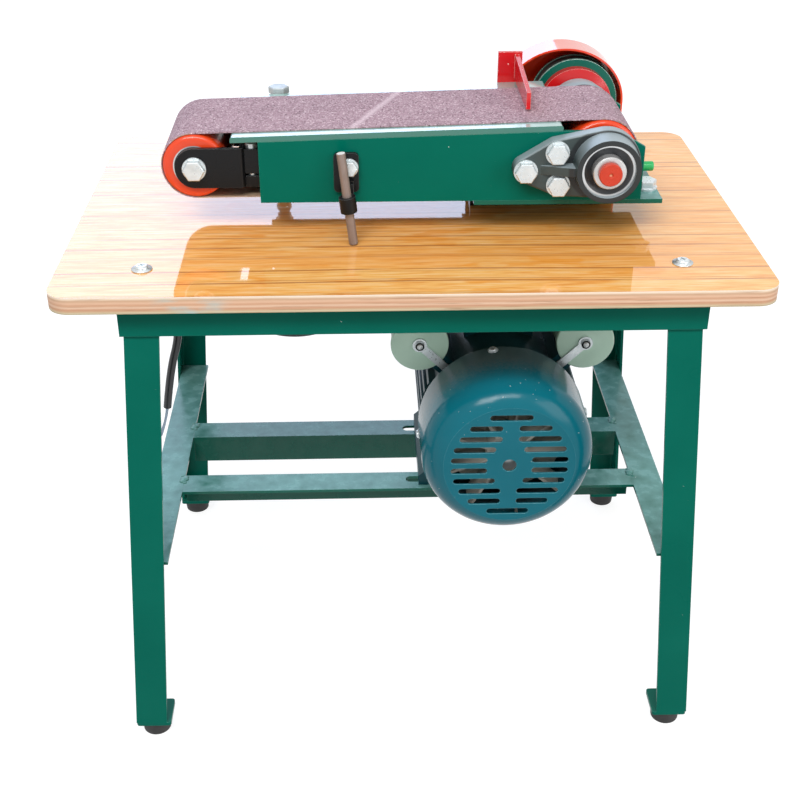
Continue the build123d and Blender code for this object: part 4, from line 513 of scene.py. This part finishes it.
# dark lines along the grain: one in each gap, each at its own place and strength
def grainLines(tree, across, place, look):
    share = look["width"] / look["gap"]
    count = addNode(tree, "Math", {0: across, 1: look["gap"] * mm}, operation="DIVIDE")
    cell = addNode(tree, "Math", {0: count.outputs[0]}, operation="FLOOR")
    within = addNode(tree, "Math", {0: count.outputs[0]}, operation="FRACT")
    luck = addNode(tree, "TexWhiteNoise", {"W": cell.outputs[0]}, noise_dimensions="1D")
    lucks = addNode(tree, "SeparateColor", {0: luck.outputs["Color"]})
    spot = addNode(tree, "MapRange", {"Value": lucks.outputs[0], spanOut: grainLook["spots"]})
    off = addNode(tree, "Math", {0: within.outputs[0], 1: spot.outputs[0]}, operation="SUBTRACT")
    near = addNode(tree, "Math", {0: off.outputs[0]}, operation="ABSOLUTE")
    line = addNode(tree, "MapRange", {"Value": near.outputs[0],
                                      "From Min": share * grainLook["foot"],
                                      "From Max": share * grainLook["core"]})
    strength = addNode(tree, "MapRange", {"Value": lucks.outputs[1],
                                          "To Min": look["share"] * grainLook["faintest"],
                                          "To Max": look["share"]})
    fade = stretched(tree, place, look["fadeSize"], 2)
    kept = addNode(tree, "MapRange", {"Value": fade.outputs[0], spanIn: grainLook["fadeSpan"]})
    bold = addNode(tree, "Math", {0: line.outputs[0], 1: strength.outputs[0]},
                   operation="MULTIPLY")
    return addNode(tree, "Math", {0: bold.outputs[0], 1: kept.outputs[0]},
                   operation="MULTIPLY").outputs[0]


def laminateFinish(look):
    finish, tree, shader, place = newFinish("printedLaminate", {
        "Roughness": look["rough"], "IOR": look["ior"], "Coat Weight": look["coat"],
        "Coat Roughness": look["coatRough"], "Coat IOR": look["ior"]})
    flow = addNode(tree, "TexNoise", {"Vector": place, "Scale": per(look["swayLength"]),
                                      "Detail": 1})
    axes = addNode(tree, "SeparateXYZ", {0: place})
    across = addNode(tree, "Math", {0: flow.outputs[0], 1: look["sway"] * mm,
                                    2: axes.outputs["Y"]}, operation="MULTIPLY_ADD").outputs[0]
    streak = stretched(tree, place, look["streakSize"], 3)
    grain = addNode(tree, "ValToRGB", {0: streak.outputs[0]}, stops=tuple(zip(
        look["streakStops"], (look["pale"], look["honey"], look["deep"]))))
    plank = stretched(tree, place, look["bandSize"], 2)
    shade = addNode(tree, "MapRange", {"Value": plank.outputs[0], spanIn: look["bandSpan"],
                                       "To Max": look["bandShare"]})
    banded = addNode(tree, "Mix", {0: shade.outputs[0], 6: grain.outputs[0],
                                   7: linear(look["deep"])}, data_type="RGBA")
    spot = stretched(tree, place, look["patchSize"], 2)
    glow = addNode(tree, "MapRange", {"Value": spot.outputs[0], spanIn: look["patchSpan"],
                                      "To Max": look["patchShare"]})
    patched = addNode(tree, "Mix", {0: glow.outputs[0], 6: banded.outputs[2],
                                    7: linear(look["patch"])}, data_type="RGBA")
    hairs = grainLines(tree, across, place, hairLook)
    haired = addNode(tree, "Mix", {0: hairs, 6: patched.outputs[2], 7: linear(look["line"])},
                     data_type="RGBA")
    lines = grainLines(tree, across, place, lineLook)
    lined = addNode(tree, "Mix", {0: lines, 6: haired.outputs[2], 7: linear(look["line"])},
                    data_type="RGBA")
    up = addNode(tree, "SeparateXYZ", {0: addNode(tree, "TexCoord").outputs["Normal"]})
    side = addNode(tree, "Math", {0: up.outputs["Z"], 1: look["sideTurn"]}, operation="LESS_THAN")
    colour = addNode(tree, "Mix", {0: side.outputs[0], 6: lined.outputs[2],
                                   7: linear(look["edge"])}, data_type="RGBA")
    wire(tree, shader, Base_Color=colour.outputs[2])
    return finish


dress(laminateFinish(laminateLook), "table_laminate")

# Plywood: bands of long grain and end grain along the sawn edge, with dark flecks and a wiped
# smear of pale paint on the front
plyLook = {"low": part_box("table_core")[0].z, "high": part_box("table_core")[1].z, "rough": 0.55,
           "ior": 1.5, "wander": 1.0, "wanderLength": 60,
           "plies": ((0.0, "#8E7A58"), (0.12, "#CFC09E"), (0.20, "#CBAA88"), (0.33, "#C69272"),
                     (0.46, "#E2BFA2"), (0.60, "#CB9A7A"), (0.74, "#E0B798"), (0.90, "#C9A283"),
                     (1.0, "#EBD3B8")),
           "fleckSize": (45, 45, 1.2), "fleck": "#9A6B4C", "fleckSpan": (0.56, 0.75),
           "fleckShare": 0.7, "fleckDepth": 0.3, "fleckHeight": 0.2, "smearMiddle": -184,
           "smearReach": 36, "smearCore": 0.4, "smearSize": (22, 22, 6), "smearSpan": (0.44, 0.70),
           "smearShare": 0.7, "smear": "#A9C7C6"}


def plywoodFinish(look):
    finish, tree, shader, place = newFinish("birchPlywood", {"Roughness": look["rough"],
                                                              "IOR": look["ior"]})
    wave = addNode(tree, "TexNoise", {"Vector": place, "Scale": per(look["wanderLength"])})
    height = addNode(tree, "SeparateXYZ", {0: place})
    lifted = addNode(tree, "Math", {0: wave.outputs[0], 1: look["wander"] * mm,
                                    2: height.outputs["Z"]}, operation="MULTIPLY_ADD")
    share = addNode(tree, "MapRange", {"Value": lifted.outputs[0], "From Min": look["low"],
                                       "From Max": look["high"]})
    plies = addNode(tree, "ValToRGB", {0: share.outputs[0]}, stops=look["plies"])
    fleck = stretched(tree, place, look["fleckSize"], 3)
    dark = addNode(tree, "MapRange", {"Value": fleck.outputs[0], spanIn: look["fleckSpan"],
                                      "To Max": look["fleckShare"]})
    colour = addNode(tree, "Mix", {0: dark.outputs[0], 6: plies.outputs[0],
                                   7: linear(look["fleck"])}, data_type="RGBA")
    wiped = addNode(tree, "Math", {0: height.outputs["X"], 1: look["smearMiddle"] * mm},
                    operation="SUBTRACT")
    aside = addNode(tree, "Math", {0: wiped.outputs[0]}, operation="ABSOLUTE")
    reach = addNode(tree, "MapRange", {"Value": aside.outputs[0],
                                       "From Min": look["smearReach"] * mm,
                                       "From Max": look["smearCore"] * look["smearReach"] * mm})
    dab = stretched(tree, place, look["smearSize"], 5)
    patchy = addNode(tree, "MapRange", {"Value": dab.outputs[0], spanIn: look["smearSpan"],
                                        "To Max": look["smearShare"]})
    front = addNode(tree, "Math", {0: height.outputs["Y"], 1: 0}, operation="LESS_THAN")
    smear = addNode(tree, "Math", {0: reach.outputs[0], 1: patchy.outputs[0]}, operation="MULTIPLY")
    smeared = addNode(tree, "Math", {0: smear.outputs[0], 1: front.outputs[0]},
                      operation="MULTIPLY")
    painted = addNode(tree, "Mix", {0: smeared.outputs[0], 6: colour.outputs[2],
                                    7: linear(look["smear"])}, data_type="RGBA")
    bump = addNode(tree, "Bump", {"Strength": look["fleckDepth"],
                                  "Distance": look["fleckHeight"] * mm,
                                  "Height": fleck.outputs[0]})
    wire(tree, shader, Base_Color=painted.outputs[2], Normal=bump.outputs[0])
    return finish


dress(plywoodFinish(plyLook), "table_core")
print("table boards finished")

# Abrasive cloth: mauve-brown grit in resin, drawn coarser than the real grit so that it shows, with
# a pale splice across it and bare cloth inside
abrasiveLook = {"grit": "#A68892", "dark": "#5A424B", "pale": "#DCC6CD", "cloth": "#A98F74",
                "rough": 0.8, "ior": 1.5, "gritSize": 1.15, "gritStops": (0, 0.22, 0.78, 1),
                "gritDepth": 0.8, "gritHeight": 0.4, "cloud": 40, "wornSpan": (0.4, 0.8),
                "wornShare": 0.2, "middle": (-10, 0, 549), "spliceFront": (-51.1, -69),
                "spliceBack": (-8, 31), "spliceWidth": 5.0, "spliceCore": 0.2, "spliceShare": 0.6}


def abrasiveFinish(look):
    finish, tree, shader, place = newFinish("resinBondedAbrasive", {
        "Roughness": look["rough"], "IOR": look["ior"]})
    seeds = addNode(tree, "TexVoronoi", {"Vector": place, "Scale": per(look["gritSize"])})
    seed = addNode(tree, "SeparateColor", {0: seeds.outputs["Color"]})
    grains = addNode(tree, "ValToRGB", {0: seed.outputs[0]}, stops=tuple(zip(
        look["gritStops"], (look["dark"], look["grit"], look["grit"], look["pale"]))))
    cloud = addNode(tree, "TexNoise", {"Vector": place, "Scale": per(look["cloud"]), "Detail": 5})
    worn = addNode(tree, "MapRange", {"Value": cloud.outputs[0], spanIn: look["wornSpan"],
                                      "To Max": look["wornShare"]})
    toned = addNode(tree, "Mix", {0: worn.outputs[0], 6: grains.outputs[0],
                                  7: linear(look["dark"])}, data_type="RGBA")
    front, back = look["spliceFront"], look["spliceBack"]
    slope = (back[0] - front[0]) / (back[1] - front[1])
    across = addNode(tree, "VectorMath", {0: place, 1: (1, -slope, 0)}, operation="DOT_PRODUCT")
    offset = addNode(tree, "Math", {0: across.outputs["Value"],
                                    1: (front[0] - slope * front[1]) * mm}, operation="SUBTRACT")
    near = addNode(tree, "Math", {0: offset.outputs[0]}, operation="ABSOLUTE")
    lip = addNode(tree, "MapRange", {"Value": near.outputs[0], "From Min": look["spliceWidth"] * mm,
                                     "From Max": look["spliceCore"] * look["spliceWidth"] * mm,
                                     "To Max": look["spliceShare"]})
    out = addNode(tree, "VectorMath", {0: place, 1: Vector(look["middle"]) * mm},
                  operation="SUBTRACT")
    flat = addNode(tree, "VectorMath", {0: out.outputs[0], 1: upright}, operation="MULTIPLY")
    facing = addNode(tree, "VectorMath", {0: flat.outputs[0],
                                          1: addNode(tree, "TexCoord").outputs["Normal"]},
                     operation="DOT_PRODUCT")
    inner = addNode(tree, "Math", {0: facing.outputs["Value"], 1: 0}, operation="LESS_THAN")
    upper = addNode(tree, "SeparateXYZ", {0: out.outputs[0]})
    onTop = addNode(tree, "Math", {0: upper.outputs["Z"], 1: 0}, operation="GREATER_THAN")
    splice = addNode(tree, "Math", {0: lip.outputs[0], 1: onTop.outputs[0]}, operation="MULTIPLY")
    spliced = addNode(tree, "Mix", {0: splice.outputs[0], 6: toned.outputs[2],
                                    7: linear(look["pale"])}, data_type="RGBA")
    colour = addNode(tree, "Mix", {0: inner.outputs[0], 6: spliced.outputs[2],
                                   7: linear(look["cloth"])}, data_type="RGBA")
    bump = addNode(tree, "Bump", {"Strength": look["gritDepth"],
                                  "Distance": look["gritHeight"] * mm,
                                  "Height": seeds.outputs["Distance"]})
    wire(tree, shader, Base_Color=colour.outputs[2], Normal=bump.outputs[0])
    return finish


dress(abrasiveFinish(abrasiveLook), "sanding_belt")
print("abrasive belt finished")

# Motor lead: a black sheath clipped under the table, ending in three stripped wires
leadLook = {"radius": 3.75, "length": 0.5, "wireRadius": 1.2, "wireRun": 14.5, "wireGap": 2.4,
            "wireSpread": 3, "wireDrift": -3.6, "wireTuck": 4, "roundness": 4, "smoothness": 12,
            "route": ((36, 41, 382), (5, 41, 382), (-42, 36, 354), (-90, 18, 335),
                      (-136, -6, 347.5), (-162, -28, 384), (-169, -39, 446), (-194.3, -76, 464.6),
                      (-212, -105, 446), (-211, -110, 402), (-223, -112, 364), (-229, -110, 325))}
# PVC: black, with a soft shine along its length
leadSheath = moulded(dict(mouldPlain, name="blackPvcSheath", colour="#16171A", shade="#202227",
                          cloud=25, spark=1.2, rough=(0.25, 0.4), depth=0.1, ior=1.53))
wireSleeves = [moulded(dict(mouldPlain, name=name, colour=colour, shade=shade, cloud=10, spark=1,
                            rough=(0.3, 0.45), depth=0.1, ior=1.53))
               for name, colour, shade in (("blueWireSleeve", "#6F97C9", "#557DB2"),
                                           ("brownWireSleeve", "#3B2A22", "#2A1D18"),
                                           ("paleWireSleeve", "#A9BACB", "#8FA3B7"))]


# a round tube along one smooth curve
def flexible(name, points, radius, finish):
    curve = bpy.data.curves.new(name, "CURVE")
    curve.dimensions = "3D"
    curve.bevel_depth = radius * mm
    curve.bevel_resolution = leadLook["roundness"]
    curve.use_fill_caps = True
    spline = curve.splines.new("NURBS")
    spline.points.add(len(points) - 1)
    for point, at in zip(spline.points, points):
        point.co = (*(Vector(at) * mm), 1)
    spline.order_u = 3
    spline.use_endpoint_u = True
    spline.resolution_u = leadLook["smoothness"]
    curve.materials.append(finish)
    piece = bpy.data.objects.new(name, curve)
    bpy.context.scene.collection.objects.link(piece)
    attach(piece, "bench")
    return piece


lead = flexible("motorLead", leadLook["route"], leadLook["radius"], leadSheath)
leadEnd = Vector(leadLook["route"][-1])
leadAim = (leadEnd - Vector(leadLook["route"][-2])).normalized()
leadSide = leadAim.cross(Vector((1, 0, 0))).normalized()
for i, sleeve in enumerate(wireSleeves):
    start = leadEnd + leadSide * leadLook["wireGap"] * (i - 1)
    middle = start + leadAim * leadLook["wireRun"]
    end = (middle + leadAim * leadLook["wireRun"] + Vector((leadLook["wireDrift"], 0, 0))
           + leadSide * leadLook["wireSpread"] * (i - 1))
    tucked = start - leadAim * leadLook["wireTuck"]
    flexible("leadWire%d" % (i + 1), (tucked, middle, end), leadLook["wireRadius"],
                          sleeve)
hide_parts("motor_lead")
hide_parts("lead_wires")
print("lead laid")

pieceLook = {"merge": 0.005, "sharp": 40, "steps": 32}


# a finished bmesh becomes a piece that rides on a body
def newPiece(name, shape, finish, body):
    bmesh.ops.remove_doubles(shape, verts=shape.verts, dist=pieceLook["merge"] * mm)
    bmesh.ops.recalc_face_normals(shape, faces=shape.faces)
    data = bpy.data.meshes.new(name)
    shape.to_mesh(data)
    shape.free()
    data.shade_smooth()
    data.set_sharp_from_angle(angle=radians(pieceLook["sharp"]))
    data.materials.append(finish)
    piece = bpy.data.objects.new(name, data)
    bpy.context.scene.collection.objects.link(piece)
    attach(piece, body)
    return piece


# a turned shape: its profile of (radius, height) in millimetres is spun about an axis
def turned(shape, place, axis, profile):
    axis = Vector(axis).normalized()
    out = axis.orthogonal().normalized()
    foot = Vector(place)
    points = [shape.verts.new((foot + out * r + axis * h) * mm) for r, h in profile]
    line = [shape.edges.new(pair) for pair in zip(points, points[1:])]
    bmesh.ops.spin(shape, geom=points + line, cent=foot * mm, axis=axis, angle=2 * pi,
                   steps=pieceLook["steps"], use_merge=True)


# a low round head as such a profile, closed underneath
domeSteps = ((0, 0), (1, 0), (0.93, 0.45), (0.62, 0.85), (0, 1))


def domed(radius, height):
    return [(r * radius, h * height) for r, h in domeSteps]


# Pan-head screws with the cross recess that a driver turns them by
recessLook = {"depth": 1.5, "turn": 0.4,
              "table_screws": {"arm": 6.2, "wide": 1.5, "x": (-232, 232), "y": (-147, 147)},
              "guard_screws": {"arm": 4.2, "wide": 1.0, "x": (90, 224), "y": (96, 118)},
              "cover_screws": {"arm": 4.2, "wide": 1.0, "middle": (90, -82.5, 285),
                               "reach": 83.85, "turn": -8, "count": 4}}


def crossed(name, node, heads):
    look = recessLook[node]
    screws = bmesh.new()
    screws.from_mesh(nodes[node].data)
    piece = newPiece(name, screws, zincPlate, "bench")
    slot = Matrix.Diagonal((look["arm"] * mm, look["wide"] * mm, 2 * recessLook["depth"] * mm, 1))
    bits = bmesh.new()
    for place, axis in heads:
        aim = axis.to_track_quat("Z", "Y").to_matrix().to_4x4()
        stand = Matrix.Translation(Vector(place) * mm) @ aim
        for turn in (recessLook["turn"], recessLook["turn"] + pi / 2):
            bmesh.ops.create_cube(bits, size=1, matrix=stand @ Matrix.Rotation(turn, 4, "Z") @ slot)
    bitData = bpy.data.meshes.new("driverBits")
    bits.to_mesh(bitData)
    bits.free()
    bit = bpy.data.objects.new("driverBits", bitData)
    bpy.context.scene.collection.objects.link(bit)
    struck = piece.modifiers.new("struck", "BOOLEAN")
    struck.operation = "DIFFERENCE"
    struck.solver = "EXACT"
    struck.use_self = True
    struck.object = bit
    depsgraph = bpy.context.evaluated_depsgraph_get()
    made = bpy.data.meshes.new_from_object(piece.evaluated_get(depsgraph))
    piece.modifiers.clear()
    piece.data = made
    bpy.data.objects.remove(bit)
    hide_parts(node)


upwards = Vector((0, 0, 1))
for name, node in (("tableScrews", "table_screws"), ("guardScrews", "guard_screws")):
    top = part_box(node)[1].z / mm
    crossed(name, node, [((x, y, top), upwards) for x in recessLook[node]["x"]
                         for y in recessLook[node]["y"]])
coverLook = recessLook["cover_screws"]
coverHeads = []
for i in range(coverLook["count"]):
    angle = radians(coverLook["turn"] + 360 / coverLook["count"] * i)
    outwards = Vector((sin(angle), 0, cos(angle)))
    coverHeads.append((Vector(coverLook["middle"]) + outwards * coverLook["reach"], outwards))
crossed("coverScrews", "cover_screws", coverHeads)
print("screw heads struck")

# Heads that the solids leave plain: the strap screws, each with a black ring round it that is a
# painted shadow, and the terminal box's lid screws
headLook = {"straps": ((10, 363), (170, 363)), "washer": (4.4, 0.5), "strapHead": (2.9, 1.9),
            "lidX": (60, 120), "lidY": (-22.5, 46.5), "lidHead": (3.2, 1.8), "sink": 0.05}
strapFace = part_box("capacitor_straps")[0].y / mm + headLook["sink"]
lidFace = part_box("terminal_box")[1].z / mm - headLook["sink"]
strapHeads, strapShadowRings, lidHeads = bmesh.new(), bmesh.new(), bmesh.new()
for x, z in headLook["straps"]:
    turned(strapShadowRings, (x, strapFace, z), (0, -1, 0), domed(*headLook["washer"]))
    turned(strapHeads, (x, strapFace, z), (0, -1, 0), domed(*headLook["strapHead"]))
for x in headLook["lidX"]:
    for y in headLook["lidY"]:
        turned(lidHeads, (x, y, lidFace), (0, 0, 1), domed(*headLook["lidHead"]))
newPiece("strapScrewHeads", strapHeads, glintPaintedMetal, "bench")
newPiece("strapPaintedShadowRings", strapShadowRings, blackEnamel, "bench")
newPiece("lidScrewHeads", lidHeads, zincPlate, "bench")
print("small heads turned")

# Knob nut on the lock bolt's foot, which shows only in the table's mirror image
knobLook = {"foot": 501.8, "profile": ((4.9, 0), (6.4, 0.7), (7.4, 2.4), (7.4, 5.2), (6.3, 7.6),
                                       (5.2, 8.8), (5.2, 11.6), (6.8, 11.6), (6.8, 16.6),
                                       (8.8, 16.6), (8.8, 20.5), (4.9, 20.5), (4.9, 0))}
knob = bmesh.new()
turned(knob, (*lockBoltAxis[:2], knobLook["foot"]), (0, 0, 1), knobLook["profile"])
newPiece("lockKnob", knob, zincPlate, "bench")
print("lock knob turned")

# Tack welds where the motor rails butt against the side rails, painted over with the stand
weldLook = {"seamX": 229.3, "top": 205, "tacks": (-53, 51),
            "beads": ((0, 0, 1.0), (1.6, 3.4, 0.8), (-1.2, -3.6, 0.72), (2.4, -6.2, 0.5),
                      (-0.6, 6.0, 0.55)), "bead": (4.4, 4.0, 2.6), "sink": 0.3, "roundness": 3}
welds = bmesh.new()
for side in (-1, 1):
    for tack in weldLook["tacks"]:
        for x, y, swell in weldLook["beads"]:
            spot = Vector((side * (weldLook["seamX"] + x), tack + side * y,
                           weldLook["top"] - weldLook["sink"]))
            bmesh.ops.create_icosphere(
                welds, subdivisions=weldLook["roundness"], radius=1,
                matrix=Matrix.Translation(spot * mm)
                @ Matrix.Diagonal([size * swell * mm for size in weldLook["bead"]] + [1]))
newPiece("railWelds", welds, railEnamel, "bench")
print("welds laid")

# Studio: a pale floor that looks white but keeps the shadow, and soft lamps, of which the sheet
# behind has daylight's blue and shows as a mirror image in the table
studioLook = {"ambient": 0.55, "floorSize": 6, "floorColour": "#9A9A9A", "floorRough": 0.9,
              "floorGlow": 0.80, "aim": (0, 0, 0.45)}
lampLook = {"backSheet": {"place": (-0.85, 2.6, 1.9), "size": (2.8, 1.9), "power": 36,
                          "tint": (0.5, 0.66, 1.0)},
            "topLamp": {"place": (0.1, -1.8, 2.6), "size": (1.4, 0.6), "power": 26,
                        "tint": (1, 1, 1)},
            "keyLamp": {"place": (-0.9, -2.0, 2.5), "size": (1.1, 0.8), "power": 36,
                        "tint": (1, 1, 1)},
            "fillLamp": {"place": (1.9, -1.5, 1.2), "size": (1.4, 1.4), "power": 18,
                         "tint": (1, 1, 1)}}
for name, look in lampLook.items():
    lampData = bpy.data.lights.new(name, "AREA")
    lampData.shape = "RECTANGLE"
    lampData.size, lampData.size_y = look["size"]
    lampData.energy = look["power"]
    lampData.color = look["tint"]
    lamp = bpy.data.objects.new(name, lampData)
    lamp.location = look["place"]
    aim = Vector(studioLook["aim"]) - Vector(look["place"])
    lamp.rotation_euler = aim.to_track_quat("-Z", "Y").to_euler()
    lamp.visible_camera = False
    bpy.context.scene.collection.objects.link(lamp)


# 1 where the camera sees a surface straight, in gloss or through glass
def inSight(tree):
    rays = addNode(tree, "LightPath").outputs
    mirrored = addNode(tree, "Math", {0: rays["Is Glossy Ray"], 1: rays["Is Transmission Ray"]},
                       operation="MAXIMUM")
    return addNode(tree, "Math", {0: rays["Is Camera Ray"], 1: mirrored.outputs[0]},
                   operation="MAXIMUM").outputs[0]


floorMesh = bmesh.new()
bmesh.ops.create_grid(floorMesh, x_segments=1, y_segments=1, size=studioLook["floorSize"])
floorData = bpy.data.meshes.new("floor")
floorMesh.to_mesh(floorData)
floorMesh.free()
floor = bpy.data.objects.new("floor", floorData)
bpy.context.scene.collection.objects.link(floor)
# matt paper that glows where it is seen, so that only the shadow shows on it
floorPaper, tree, shader, place = newFinish("whitePaper", {
    "Base Color": linear(studioLook["floorColour"]), "Roughness": studioLook["floorRough"],
    "Emission Color": (1, 1, 1, 1)})
glow = addNode(tree, "Math", {0: inSight(tree), 1: studioLook["floorGlow"]}, operation="MULTIPLY")
tree.links.new(glow.outputs[0], shader.inputs["Emission Strength"])
floorData.materials.append(floorPaper)

world = bpy.data.worlds.new("studio")
bpy.context.scene.world = world
world.use_nodes = True
tree = world.node_tree
# white where it is seen, and an even light on everything else
level = addNode(tree, "Mix", {0: inSight(tree), 2: studioLook["ambient"], 3: 1})
tree.nodes["Background"].inputs["Color"].default_value = (1, 1, 1, 1)
tree.links.new(level.outputs[0], tree.nodes["Background"].inputs["Strength"])
print("studio lit")
